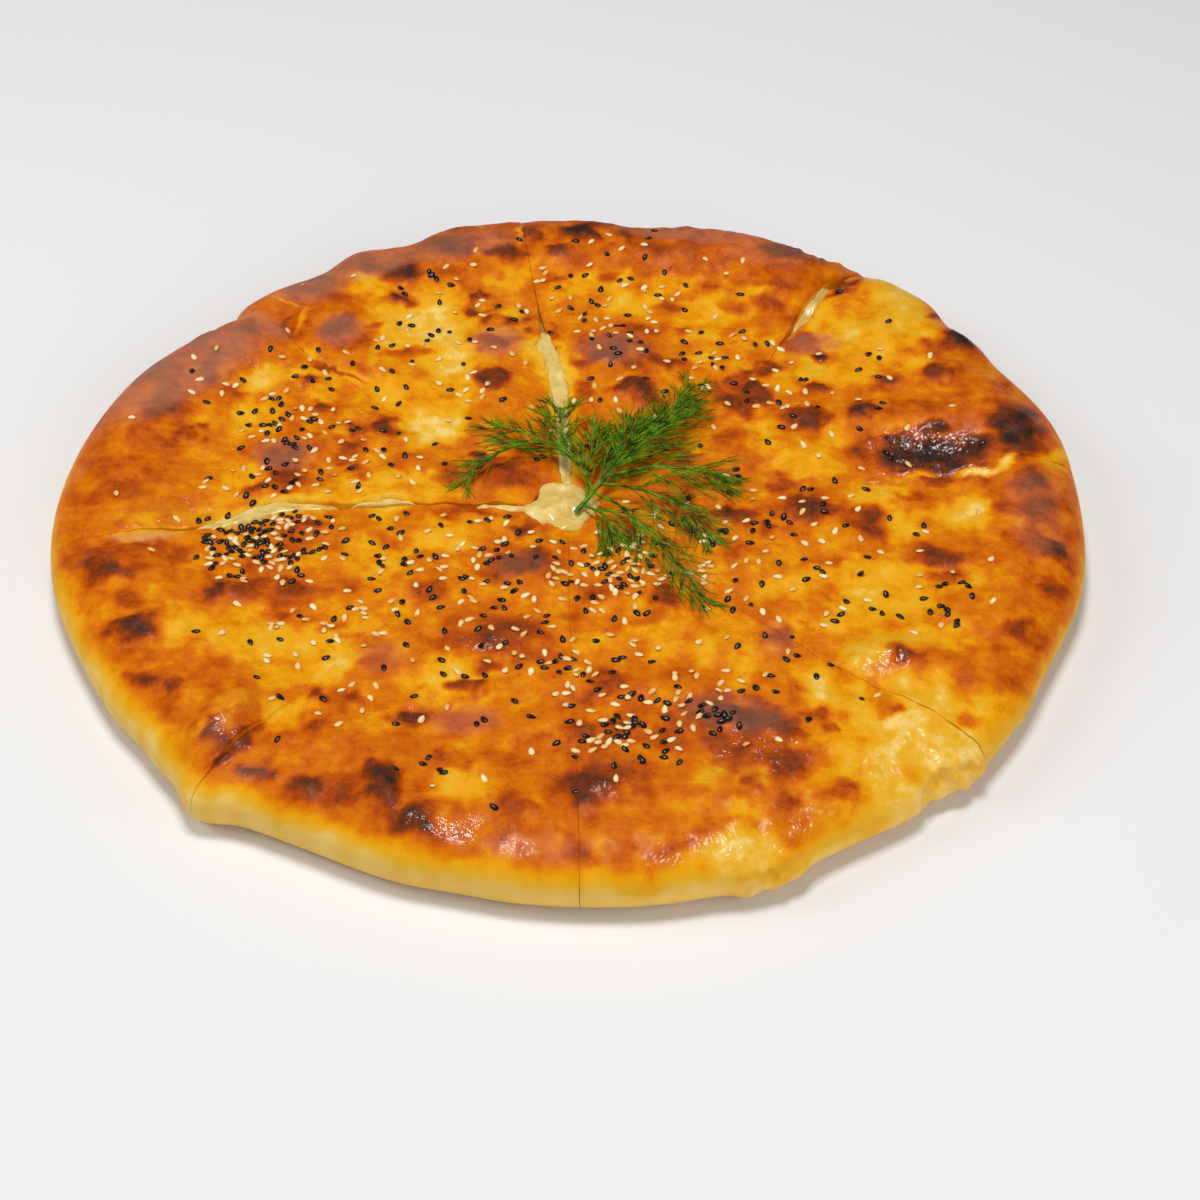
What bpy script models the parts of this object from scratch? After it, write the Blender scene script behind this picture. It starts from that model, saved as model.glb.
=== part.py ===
"""A large round pie, about 32 cm across, cut into eight slices that still lie together.

Leavened dough is folded round a soft pale filling and baked with an egg glaze. Each slice is a
crust, which is a top, a bottom and a thick sealed rim in one piece, and a wedge of filling that
runs through it and shows at both cuts. Melted filling stands in the middle, where the tips have
drawn apart, sesame seeds are baked onto the crusts, and a sprig of dill lies over the centre.

Metres, +Z up. The origin is the middle of the underside, and +Y points away from the viewer.
"""

import math
import random
from collections import namedtuple

import bmesh
import bpy
from mathutils import Matrix, Vector
from mathutils.bvhtree import BVHTree

MM = 0.001

# Driving dimensions.
PIE_RADIUS = 160 * MM
MIDDLE_HEIGHT = 15.5 * MM
OUTER_HEIGHT = 17.5 * MM
RIM_SWELL = 3.7 * MM
RIM_SWELL_WIDTH = 17 * MM
RIM_SWELL_INSET = 24 * MM
PUFFIER_BEHIND = 0.4
PUFFIEST_ANGLE = math.radians(100)
TOP_CRUST = 3.2 * MM
BOTTOM_CRUST = 3.6 * MM
RIM_DOUGH = 15 * MM
LAYER_GAP = 0.35 * MM
KNIFE_GAP = 0.8 * MM
MIDDLE_GAP = 0.9 * MM

SLICE_STEPS = 8
EDGE_STEP = 0.05

SEED_LENGTH = 3.2 * MM
SEED_WIDTH = 2.0 * MM
SEED_HEIGHT = 1.3 * MM
SEED_SUNK = 0.25 * MM
SEEDS_A_SLICE = 15
SEED_SPACING = 5.5 * MM
CUT_CLEARANCE = 4.5 * MM

STALK_RADIUS = 0.95 * MM
MIDRIB_RADIUS = 0.65 * MM
NEEDLE_RADIUS = 0.42 * MM
DILL_CLEARANCE = 1.1 * MM

# A cut runs from the middle to the rim in straight stretches that meet at these radii, in
# millimetres. At each, a cut has its direction in degrees and its width in millimetres.
CUT_RADII = [40, 75, 92, 110, 136, 160]
Cut = namedtuple("Cut", "angles gaps")
CUTS = [
    Cut((6.5, 7.0, 6.3, 5.6, 7.4, 7.2), (0.8, 0.8, 0.8, 0.9, 1.2, 1.2)),
    Cut((46.0, 45.5, 48.5, 51.0, 53.0, 51.7), (0.9, 0.9, 0.9, 1.0, 3.8, 2.8)),
    Cut((92.5, 94.0, 95.6, 96.0, 96.5, 96.5), (3.0, 5.2, 2.0, 0.9, 0.9, 1.2)),
    Cut((144.0, 140.7, 138.5, 139.8, 137.4, 139.2), (0.8, 0.8, 0.9, 1.2, 1.4, 1.2)),
    Cut((179.0, 182.3, 182.0, 187.2, 188.0, 187.6), (1.6, 3.8, 5.0, 2.0, 0.9, 1.2)),
    Cut((227.0, 227.4, 227.8, 229.5, 230.0, 230.7), (0.8, 0.8, 0.8, 0.9, 1.0, 1.2)),
    Cut((271.0, 271.4, 271.6, 271.8, 271.7, 271.6), (0.8, 0.8, 0.8, 0.8, 0.8, 1.0)),
    Cut((315.4, 315.5, 315.6, 315.8, 316.6, 318.0), (0.8, 0.8, 0.8, 0.8, 0.8, 1.0)),
]
# How far each slice's tip has drawn back from the middle, in millimetres.
TIP_RADII = [8.0, 10.0, 11.5, 11.5, 11.0, 9.5, 8.5, 8.0]

# Where the rim stands out or is drawn in: angle and spread in degrees, amount in millimetres.
RIM_LUMPS = [
    (16, 10, 3.2), (33, 3.5, 2.6), (42, 4, 4.4), (49, 6, 6.5), (54, 3, 1.0), (65, 20, 1.0),
    (66, 9, 5.0), (82, 4, -2.4), (90, 25, 1.2), (95, 4, 1.2), (98, 8, 1.4), (104, 2.5, 1.2),
    (111, 3, -3.5), (114, 2.5, -1.8), (119, 3, 2.2), (125, 6, -4.7), (136.5, 2.5, 1.8),
    (141, 7, -9.0), (206, 13, -3.0), (219, 4, -1.5), (230.5, 3, 5.5), (240, 30, -1.0),
    (243, 10, -3.0), (259, 5, -1.2), (281, 10, 2.0), (289, 3, 2.8), (292.8, 2.2, 2.4),
    (301, 6, -1.2), (311, 2, -2.4), (316, 3, 1.4), (335, 10, -3.2),
]

# Blisters, swells and hollows of the crust, in millimetres: place, half length, half width,
# turn in degrees, height, and the one slice it is on, or None where it crosses cuts.
Swell = namedtuple("Swell", "x y length width turn height on")
SWELLS = [
    Swell(-140, 45, 30, 15, 70, 2.6, 3), Swell(-112, 87, 17, 10, 40, 4.6, 3),
    Swell(-138, 8, 8, 7, 0, 1.8, 3), Swell(-90, 24, 12, 10, 0, 1.5, 3),
    Swell(-78, 4, 34, 7, 0, 1.0, 3), Swell(-20, 12, 13, 8, 0, 2.0, 3),
    Swell(-77, 90, 12, 10, 0, 2.4, 2), Swell(-70, 73, 14, 7, -10, 2.4, 2),
    Swell(-45, 144, 22, 9, 20, 2.6, 2), Swell(-76, 131, 8, 6, 0, 1.4, 2),
    Swell(-97, 97, 10, 7, 130, -2.2, 2), Swell(-24, 75, 9, 13, 0, 1.2, 2),
    Swell(5, 149, 12, 7, 0, 2.0, 1), Swell(52, 138, 28, 12, -10, 2.6, 1),
    Swell(74, 112, 18, 10, 60, 3.6, 1), Swell(15, 82, 16, 9, -20, 2.2, 1),
    Swell(23, 60, 9, 9, 0, 1.6, 1), Swell(96, 100, 16, 10, 50, -2.0, 0),
    Swell(130, 84, 9, 6, -30, 2.6, 0), Swell(112, 40, 26, 10, 4, 3.2, 0),
    Swell(116, 26, 19, 8, 4, -3.4, 0), Swell(145, 29, 8, 11, 10, 3.4, 0),
    Swell(53, 52, 15, 6, 42, 2.2, 0), Swell(75, 42, 9, 7, 0, 1.2, 0),
    Swell(146, 6, 10, 11, 0, 2.0, 7), Swell(150, -26, 6, 12, 20, 1.4, 7),
    Swell(112, -27, 14, 7, -5, 1.6, 7), Swell(77, -4, 11, 8, 0, 1.4, 7),
    Swell(97, -73, 7, 6, 0, 2.2, 7), Swell(88, -73, 11, 5, 40, 1.8, 7),
    Swell(-22, -65, 17, 8, 0, 1.8, 5), Swell(-12, -31, 12, 8, 0, 1.6, 5),
    Swell(-50, -127, 6, 12, 0, 2.2, 5), Swell(-40, -141, 11, 7, -20, 2.4, 5),
    Swell(45, -97, 16, 8, -15, 2.4, 6), Swell(12, -127, 13, 9, 20, 2.2, 6),
    Swell(92, -116, 20, 14, 30, -2.0, 6), Swell(57, -146, 10, 6, 10, -1.5, 6),
    Swell(-127, -60, 9, 7, 0, 1.6, 4), Swell(-137, -33, 14, 8, 0, 1.4, 4),
    Swell(-103, -43, 16, 7, 0, 1.5, 4), Swell(-97, -102, 14, 7, 62, 5.4, 4),
    Swell(-86, -112, 12, 8, 60, -1.8, 5), Swell(-75, -2, 34, 6, 0, -0.6, 4),
]

# Where sesame lies thickest, in millimetres: place and radius.
SEED_PATCHES = [
    (-92, -22, 18), (-90, 35, 22), (-50, -30, 24), (14, -104, 16), (35, -97, 12), (12, -36, 16),
    (-62, -76, 14), (-8, -68, 12), (22, 82, 16), (28, 128, 24), (-40, 100, 20), (62, 30, 18),
    (62, -22, 18), (114, -46, 10), (-60, 20, 20), (80, 62, 18), (60, -60, 14), (-20, 68, 12),
]

# Fronds of the sprig: the frond it grows from and how far along that, bend and end of its midrib
# in millimetres, how far its needles reach, how high it arches, and how many pairs it bears.
Frond = namedtuple("Frond", "parent at bend end reach arch pairs")
SPRIG_START = (3, -5)
FRONDS = [
    Frond(None, 0.0, (19, 14), (41, 65), 13, 6.0, 14), Frond(0, 0.16, (2, 24), (-27, 42), 11, 3.5, 9),
    Frond(1, 0.45, (-3, 36), (-2, 56), 8, 2.0, 6), Frond(0, 0.28, (36, 12), (55, 7), 10, 3.0, 8),
    Frond(0, 0.22, (34, 0), (47, -23), 9, 2.0, 7), Frond(0, 0.16, (28, -18), (43, -57), 8, 1.5, 9),
    Frond(0, 0.06, (13, -8), (14, -24), 8, 1.5, 6), Frond(1, 0.62, (-28, 20), (-34, 3), 6, 1.0, 5),
]

PIE = bpy.data.collections.new("round_pie")
CUTTERS = bpy.data.collections.new("joined_pieces")


def clear_scene():
    """Empty the scene, and add the collections that the pie is kept in."""
    for old in list(bpy.data.objects):
        bpy.data.objects.remove(old, do_unlink=True)
    bpy.context.scene.collection.children.link(PIE)
    bpy.context.scene.collection.children.link(CUTTERS)
    CUTTERS.hide_render = True


def finish_material(name, colour, roughness):
    """A Principled material of one colour."""
    material = bpy.data.materials.new(name)
    material.use_nodes = True
    shader = material.node_tree.nodes["Principled BSDF"]
    shader.inputs["Base Color"].default_value = (*colour, 1.0)
    shader.inputs["Roughness"].default_value = roughness
    shader.inputs["Metallic"].default_value = 0.0
    return material


def add_object(name, bm, material, collection=None):
    """Turn a bmesh into an object that faces outward, smooth but for its sharp cut edges."""
    bmesh.ops.recalc_face_normals(bm, faces=bm.faces)
    if bm.calc_volume(signed=True) < 0:
        bmesh.ops.reverse_faces(bm, faces=bm.faces)
    mesh = bpy.data.meshes.new(name)
    bm.to_mesh(mesh)
    bm.free()
    mesh.materials.append(material)
    mesh.shade_smooth()
    mesh.set_sharp_from_angle(angle=math.radians(50))
    made = bpy.data.objects.new(name, mesh)
    (collection or PIE).objects.link(made)
    return made


def bell(distance, spread):
    """A smooth bump: 1 in the middle, and gone at about twice the spread."""
    return math.exp(-((distance / spread) ** 2))


def angle_between(first, second):
    """The difference of two angles in degrees, from -180 to 180."""
    return (first - second + 180) % 360 - 180


def rim_radius(angle):
    """The pie's outline: how far out the rim's side is at an angle in degrees."""
    lumps = sum(amount * bell(angle_between(angle, at), spread) for at, spread, amount in RIM_LUMPS)
    return PIE_RADIUS + lumps * MM


def smooth_height(x, y):
    """The height of the pie's top without its blisters: a low dome with a swollen rim."""
    radius = math.hypot(x, y)
    angle = math.atan2(y, x)
    rim = rim_radius(math.degrees(angle))
    rise = (OUTER_HEIGHT - MIDDLE_HEIGHT) * min(radius / (0.5 * rim), 1.0)
    puffed = 1 + PUFFIER_BEHIND * math.cos(angle - PUFFIEST_ANGLE)
    swell = RIM_SWELL * puffed * bell(radius - (rim - RIM_SWELL_INSET), RIM_SWELL_WIDTH)
    return MIDDLE_HEIGHT + rise + swell


def relief(x, y, number):
    """How far the crust of one slice stands above the plain dome, or lies below it."""
    height = 0.0
    for swell in SWELLS:
        if swell.on in (None, number):
            turn = math.radians(swell.turn)
            across = x / MM - swell.x
            up = y / MM - swell.y
            along = (across * math.cos(turn) + up * math.sin(turn)) / swell.length
            aside = (up * math.cos(turn) - across * math.sin(turn)) / swell.width
            height += swell.height * MM * math.exp(-(along**2) - aside**2)
    return height


def cut_side(cut, radius, side, level=1.0):
    """Where one side of a cut is at a radius: side is 1 to the left of the cut, and -1 right.

    Only the top crust draws back by the whole gap. The filling and the bottom, which are at a
    low level of the height, stay as close as the knife left them.
    """
    opened = min(max((level - 0.6) / 0.2, 0.0), 1.0)
    stops = [0.0] + CUT_RADII
    corners = []
    for at, angle, gap in zip(stops, cut.angles[:1] + cut.angles, cut.gaps[:1] + cut.gaps):
        out = Vector((math.cos(math.radians(angle)), math.sin(math.radians(angle))))
        aside = side * (KNIFE_GAP / MM * (1 - opened) + gap * opened) / 2
        corners.append((out * at + Vector((-out.y, out.x)) * aside) * MM)
    stretch = max(index for index, stop in enumerate(stops[:-1]) if radius >= stop * MM)
    share = (radius / MM - stops[stretch]) / (stops[stretch + 1] - stops[stretch])
    return corners[stretch].lerp(corners[stretch + 1], share)


def slice_place(number, radius, share, height):
    """Where a point of the plain round slice lies on the real one.

    The share runs from 0 at one cut to 1 at the other. Blisters lift only the top crust, and
    hollows lower the filling under them too.
    """
    level = height / OUTER_HEIGHT
    start = cut_side(CUTS[number], radius, 1, level)
    end = cut_side(CUTS[(number + 1) % len(CUTS)], radius, -1, level)
    first = math.atan2(start.y, start.x) % math.tau
    sweep = (math.atan2(end.y, end.x) - first) % math.tau
    angle = first + share * sweep
    reach = start.length + share * (end.length - start.length)
    stretch = rim_radius(math.degrees(angle)) / PIE_RADIUS - 1
    reach *= 1 + stretch * (radius / PIE_RADIUS) ** 2
    x = reach * math.cos(angle)
    y = reach * math.sin(angle)
    lift = relief(x, y, number)
    follows = (level - 0.84) / 0.16 if lift > 0 else level / 0.75
    z = level * smooth_height(x, y) + min(max(follows, 0.0), 1.0) * lift
    return Vector((x, y, z))


def crust_section(tip):
    """The outline of a crust from tip to rim, as radius and height: a letter C."""
    full = OUTER_HEIGHT
    rim = PIE_RADIUS
    ceiling = full - TOP_CRUST
    pocket = rim - RIM_DOUGH
    stops = [tip] + [at * MM for at in CUT_RADII[:-1]]
    bottom = [(radius, 0.0) for radius in stops] + [(rim - 9 * MM, 0.0)]
    side = [(rim - 3 * MM, 1.2 * MM), (rim - 0.3 * MM, 5 * MM), (rim, 8.5 * MM)]
    shoulder = [(rim - 1.5 * MM, 0.7 * full), (rim - 5.5 * MM, 0.9 * full), (rim - 13 * MM, full)]
    between = [tip, 26 * MM, 40 * MM, 51 * MM, 63 * MM, 75 * MM, 87 * MM, 98 * MM, 110 * MM]
    top = [(radius, full) for radius in [136 * MM, 123 * MM] + between[::-1]]
    roof = [(radius, ceiling) for radius in stops]
    end = [(pocket, 0.6 * full), (pocket, BOTTOM_CRUST + 1.5 * MM)]
    base = [(radius, BOTTOM_CRUST) for radius in stops[::-1]]
    return bottom + side + shoulder + top + roof + end + base


def filling_section(tip):
    """The outline of a filling, which fits the crust's pocket with a small gap all round."""
    gap = LAYER_GAP
    pocket = PIE_RADIUS - RIM_DOUGH - gap
    stops = [tip] + [at * MM for at in CUT_RADII[:-1]]
    roof = [(radius, OUTER_HEIGHT - TOP_CRUST - gap) for radius in stops]
    end = [(pocket, 0.6 * OUTER_HEIGHT - gap), (pocket, BOTTOM_CRUST + 1.5 * MM + gap)]
    base = [(radius, BOTTOM_CRUST + gap) for radius in stops[::-1]]
    return roof + end + base


def share_of_step(step):
    """Steps across a slice lie evenly, but the first and the last are narrow, beside the cuts."""
    if step in (0, SLICE_STEPS):
        return step / SLICE_STEPS
    return EDGE_STEP + (step - 1) / (SLICE_STEPS - 2) * (1 - 2 * EDGE_STEP)


def swept_slice(number, section):
    """Sweep a section round from one cut to the next, close both cut faces, and shape it."""
    bm = bmesh.new()
    corners = [bm.verts.new((radius, 0, height)) for radius, height in section]
    edges = [bm.edges.new((a, b)) for a, b in zip(corners, corners[1:] + corners[:1])]
    sweep = math.radians(45)
    bmesh.ops.spin(
        bm, geom=corners + edges, cent=(0, 0, 0), axis=(0, 0, 1), angle=sweep, steps=SLICE_STEPS
    )
    bmesh.ops.edgenet_fill(bm, edges=[edge for edge in bm.edges if edge.is_boundary])
    bmesh.ops.triangulate(bm, faces=bm.faces, quad_method="BEAUTY", ngon_method="BEAUTY")
    for vert in bm.verts:
        radius = math.hypot(vert.co.x, vert.co.y)
        step = round(math.atan2(vert.co.y, vert.co.x) / sweep * SLICE_STEPS)
        vert.co = slice_place(number, radius, share_of_step(step), vert.co.z)
    return bm


def surface_tree(objects):
    """All the crusts' faces, for dropping things onto them."""
    points = []
    faces = []
    for made in objects:
        start = len(points)
        points += [vert.co.copy() for vert in made.data.vertices]
        faces += [[start + index for index in face.vertices] for face in made.data.polygons]
    return BVHTree.FromPolygons(points, faces)


def drop(tree, x, y):
    """The point and the normal of the crust straight below a place, or None over a cut."""
    point, normal, _, _ = tree.ray_cast(Vector((x, y, 60 * MM)), Vector((0, 0, -1)))
    if point is None or normal.z < 0.6:
        return None
    return point, normal


def seed_mesh():
    """One sesame seed: a flattened drop, narrower at one end."""
    bm = bmesh.new()
    bmesh.ops.create_icosphere(bm, subdivisions=1, radius=0.5)
    bmesh.ops.rotate(bm, verts=bm.verts, matrix=Matrix.Rotation(0.3, 3, "X"))
    for vert in bm.verts:
        taper = 1 - 0.45 * vert.co.x
        vert.co = (
            vert.co.x * SEED_LENGTH,
            vert.co.y * SEED_WIDTH * taper,
            vert.co.z * SEED_HEIGHT * taper,
        )
    return bm


def seed_places(number, tree, sprig_lines, draw):
    """Places for a slice's seeds, mostly on the patches, clear of cuts, rim, sprig and others."""
    places = []
    for _ in range(4000):
        if len(places) == SEEDS_A_SLICE:
            break
        x, y, spread = draw.choice(SEED_PATCHES)
        if draw.random() < 0.45:
            x, y, spread = 0, 0, 85
        spot = Vector((draw.gauss(x, spread * 0.6), draw.gauss(y, spread * 0.6))) * MM
        radius = spot.length
        if not TIP_RADII[number] * MM + 8 * MM < radius < PIE_RADIUS - 26 * MM:
            continue
        sides = cut_side(CUTS[number], radius, 1), cut_side(CUTS[(number + 1) % 8], radius, -1)
        past_first = (spot - sides[0]).dot(Vector((-sides[0].y, sides[0].x)).normalized())
        before_last = (spot - sides[1]).dot(Vector((sides[1].y, -sides[1].x)).normalized())
        if min(past_first, before_last) < CUT_CLEARANCE or spot.dot(sides[0]) < 0:
            continue
        if any((spot - other).length < SEED_SPACING for other, _, _ in places):
            continue
        if any((spot - line).length < 4 * MM for line in sprig_lines):
            continue
        found = drop(tree, spot.x, spot.y)
        if found:
            places.append((spot, *found))
    return places


def seeded(crust, number, tree, sprig_lines, draw):
    """Fuse a slice's sesame seeds to its crust."""
    seeds = bpy.data.collections.new(f"seeds_{number}")
    CUTTERS.children.link(seeds)
    for spot, point, normal in seed_places(number, tree, sprig_lines, draw):
        bm = seed_mesh()
        lie = normal.to_track_quat("Z", "X").to_matrix().to_4x4()
        turn = Matrix.Rotation(draw.uniform(0, math.tau), 4, "Z")
        lift = normal * (SEED_HEIGHT / 2 - SEED_SUNK - 0.3 * MM)
        bmesh.ops.transform(bm, verts=bm.verts, matrix=Matrix.Translation(point + lift) @ lie @ turn)
        add_object(f"seed_{number}", bm, crust.data.materials[0], seeds)
    return join_by_union(crust, seeds, "MANIFOLD")


def join_by_union(base, collection, solver):
    """Join a collection's objects to the base in one Boolean, then remove them."""
    union = base.modifiers.new("union", "BOOLEAN")
    union.operation = "UNION"
    union.operand_type = "COLLECTION"
    union.collection = collection
    union.solver = solver
    bpy.context.view_layer.update()
    graph = bpy.context.evaluated_depsgraph_get()
    joined = bpy.data.meshes.new_from_object(base.evaluated_get(graph))
    base.modifiers.clear()
    base.data = joined
    for piece in list(collection.objects):
        bpy.data.objects.remove(piece, do_unlink=True)
    bpy.data.collections.remove(collection)
    return base


def midrib_point(frond, tree, t):
    """A point of a frond's midrib: it leaves its parent, arches over the crust and comes down."""
    if frond.parent is None:
        start = Vector((*SPRIG_START, 0)) * MM
        start.z = ground(tree, start.x, start.y) + STALK_RADIUS + DILL_CLEARANCE
    else:
        start = midrib_point(FRONDS[frond.parent], tree, frond.at)
    bend, end = (Vector((*place, 0)) * MM for place in (frond.bend, frond.end))
    spot = start * (1 - t) ** 2 + bend * 2 * t * (1 - t) + end * t**2
    lift = (start.z - ground(tree, start.x, start.y)) * (1 - t) + DILL_CLEARANCE * t
    arch = frond.arch * MM * math.sin(math.pi * t)
    return Vector((spot.x, spot.y, ground(tree, spot.x, spot.y) + lift + arch))


def midrib(frond, tree, count):
    """Points along a frond's midrib."""
    return [midrib_point(frond, tree, step / count) for step in range(count + 1)]


def ground(tree, x, y):
    """The height of what lies below a place, read at it and just round it."""
    near = [(0, 0), (3 * MM, 0), (-3 * MM, 0), (0, 3 * MM), (0, -3 * MM)]
    found = [drop(tree, x + dx, y + dy) for dx, dy in near]
    return max([hit[0].z for hit in found if hit] + [MIDDLE_HEIGHT])


def tube(points, radius, name):
    """A round strand along points, made a mesh, with its caps welded."""
    curve = bpy.data.curves.new(name, "CURVE")
    curve.dimensions = "3D"
    curve.bevel_depth = radius
    curve.bevel_resolution = 0
    curve.use_fill_caps = True
    spline = curve.splines.new("POLY")
    spline.points.add(len(points) - 1)
    for place, target in zip(points, spline.points):
        target.co = (*place, 1.0)
    guide = bpy.data.objects.new(name, curve)
    PIE.objects.link(guide)
    bpy.context.view_layer.update()
    graph = bpy.context.evaluated_depsgraph_get()
    mesh = bpy.data.meshes.new_from_object(guide.evaluated_get(graph))
    bpy.data.objects.remove(guide, do_unlink=True)
    bm = bmesh.new()
    bm.from_mesh(mesh)
    bpy.data.meshes.remove(mesh)
    bmesh.ops.remove_doubles(bm, verts=bm.verts, dist=0.00001)
    return bm


def needle(start, end):
    """One thread of a dill leaf: a slim three-sided cone."""
    bm = bmesh.new()
    reach = end - start
    bmesh.ops.create_cone(
        bm,
        cap_ends=True,
        segments=3,
        radius1=NEEDLE_RADIUS,
        radius2=NEEDLE_RADIUS * 0.5,
        depth=reach.length,
    )
    lie = reach.to_track_quat("Z", "Y").to_matrix().to_4x4()
    bmesh.ops.transform(bm, verts=bm.verts, matrix=Matrix.Translation((start + end) / 2) @ lie)
    return bm


def needle_ends(frond, points, tree, draw):
    """The start and end of every needle of a frond, in pairs along its midrib."""
    ends = []
    last = len(points) - 1
    for pair in range(frond.pairs):
        t = 0.18 + 0.8 * (pair + 0.5) / frond.pairs
        place = t * last
        step = min(int(place), last - 1)
        start = points[step].lerp(points[step + 1], place - step)
        ahead = (points[step + 1] - points[step]).normalized()
        reach = frond.reach * MM * (0.45 + 0.55 * math.sin(math.pi * min(1.0, 0.2 + t * 0.8)))
        for side in (1, -1):
            turn = side * math.radians(draw.uniform(38, 62))
            away = Matrix.Rotation(turn, 3, "Z") @ ahead
            end = start + away * reach * draw.uniform(0.75, 1.1)
            end.z = max(start.z + draw.uniform(-4, 1.5) * MM, ground(tree, end.x, end.y) + 1.2 * MM)
            ends.append((start, end))
    return ends


def dill_sprig(tree, material):
    """The sprig: a thick cut stalk, the midribs of its fronds, and their needles, all fused."""
    draw = random.Random(11)
    strands = bpy.data.collections.new("dill_strands")
    CUTTERS.children.link(strands)
    lines = []
    for frond in FRONDS:
        points = midrib(frond, tree, 6)
        add_object("midrib", tube(points, MIDRIB_RADIUS, "midrib"), material, strands)
        lines += [Vector(point[:2]) for point in midrib(frond, tree, 24)]
        for start, end in needle_ends(frond, points, tree, draw):
            add_object("needle", needle(start, end), material, strands)
            lines += [Vector(start.lerp(end, share)[:2]) for share in (0.3, 0.65, 1.0)]
    stalk = midrib(FRONDS[0], tree, 12)[:6]
    sprig = add_object("dill_sprig", tube(stalk, STALK_RADIUS, "stalk"), material)
    return join_by_union(sprig, strands, "MANIFOLD"), lines


def middle_radius(angle):
    """How far the melted middle reaches at an angle in radians: just short of the tips."""
    total = 0.0
    weights = 0.0
    for number, tip in enumerate(TIP_RADII):
        after = math.radians(CUTS[number].angles[0])
        middle = after + ((math.radians(CUTS[(number + 1) % 8].angles[0]) - after) % math.tau) / 2
        near = math.exp(6 * (math.cos(angle - middle) - 1))
        total += near * tip
        weights += near
    return total / weights * MM * 0.94 - MIDDLE_GAP


def melted_middle(material):
    """The melted filling in the middle, a low lumpy mound that stands between the tips."""
    height = 14.5 * MM
    section = [(0, 0), (0.94, 0), (1.0, 0.3), (1.0, 0.75), (0.85, 0.93), (0.45, 1.0), (0, 0.95)]
    bm = bmesh.new()
    corners = [bm.verts.new((share, 0, level * height)) for share, level in section]
    edges = [bm.edges.new(pair) for pair in zip(corners, corners[1:])]
    bmesh.ops.spin(
        bm, geom=corners + edges, cent=(0, 0, 0), axis=(0, 0, 1), angle=math.tau, steps=14,
        use_merge=True,
    )
    bmesh.ops.remove_doubles(bm, verts=bm.verts, dist=0.00001)
    for vert in bm.verts:
        reach = middle_radius(math.atan2(vert.co.y, vert.co.x))
        vert.co.x *= reach
        vert.co.y *= reach
    return add_object("melted_middle", bm, material)


def build():
    """Make the eight slices, the melted middle and the sprig."""
    clear_scene()
    crust_material = finish_material("baked_crust", (0.75, 0.32, 0.04), 0.4)
    filling_material = finish_material("soft_filling", (0.83, 0.66, 0.27), 0.45)
    dill_material = finish_material("dill_leaf", (0.1, 0.25, 0.02), 0.5)
    crusts = []
    for number, tip in enumerate(TIP_RADII):
        label = number + 1
        crust = swept_slice(number, crust_section(tip * MM))
        crusts.append(add_object(f"crust_{label}", crust, crust_material))
        filling = swept_slice(number, filling_section(tip * MM))
        add_object(f"filling_{label}", filling, filling_material)
    melted_middle(filling_material)
    tree = surface_tree(crusts)
    _, sprig_lines = dill_sprig(tree, dill_material)
    draw = random.Random(5)
    for number, crust in enumerate(crusts):
        seeded(crust, number, tree, sprig_lines, draw)
    bpy.data.collections.remove(CUTTERS)


build()
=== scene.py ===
"""The looks of a large round filled pie, about 32 cm across, cut into eight slices.

Leavened dough, folded round a soft pale filling and baked under an egg glaze until it blisters
and scorches, with black and white sesame baked on and a sprig of fresh dill laid over the cuts.
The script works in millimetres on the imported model's frame: +X right, +Y away, +Z up, and the
origin in the middle of the underside.
"""

import math
import random

import bmesh
import bpy
import numpy as np
from mathutils import Matrix, Vector
from mathutils.bvhtree import BVHTree
from mathutils.geometry import interpolate_bezier


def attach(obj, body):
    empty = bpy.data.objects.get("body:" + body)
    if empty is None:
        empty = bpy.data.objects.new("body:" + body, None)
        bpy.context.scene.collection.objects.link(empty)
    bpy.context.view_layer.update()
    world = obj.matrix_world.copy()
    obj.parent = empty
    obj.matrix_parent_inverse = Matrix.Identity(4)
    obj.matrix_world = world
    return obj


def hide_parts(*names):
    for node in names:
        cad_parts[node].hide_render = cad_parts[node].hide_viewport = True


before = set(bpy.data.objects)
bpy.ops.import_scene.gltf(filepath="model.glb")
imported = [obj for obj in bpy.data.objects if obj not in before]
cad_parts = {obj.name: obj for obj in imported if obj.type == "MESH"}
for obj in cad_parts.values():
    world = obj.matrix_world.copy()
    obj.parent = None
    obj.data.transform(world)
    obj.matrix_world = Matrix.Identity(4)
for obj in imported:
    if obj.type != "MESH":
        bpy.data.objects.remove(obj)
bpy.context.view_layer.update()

# The view: a long lens about 0.9 m away, which looks down at the pie a little less steeply than
# halfway, from straight in front of it.
MM = 0.001
CAMERA_HEIGHT_ANGLE = math.radians(40.64)
CAMERA_DISTANCE = 880 * MM
CAMERA_AIM = Vector((10, -27, 0)) * MM

lens = bpy.data.cameras.new("camera")
lens.lens = 86.1
camera = bpy.data.objects.new("camera", lens)
toward_camera = Vector((0, -math.cos(CAMERA_HEIGHT_ANGLE), math.sin(CAMERA_HEIGHT_ANGLE)))
camera.location = CAMERA_AIM + CAMERA_DISTANCE * toward_camera
camera.rotation_euler = (math.pi / 2 - CAMERA_HEIGHT_ANGLE, 0, 0)
bpy.context.scene.collection.objects.link(camera)
bpy.context.scene.camera = camera


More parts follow.
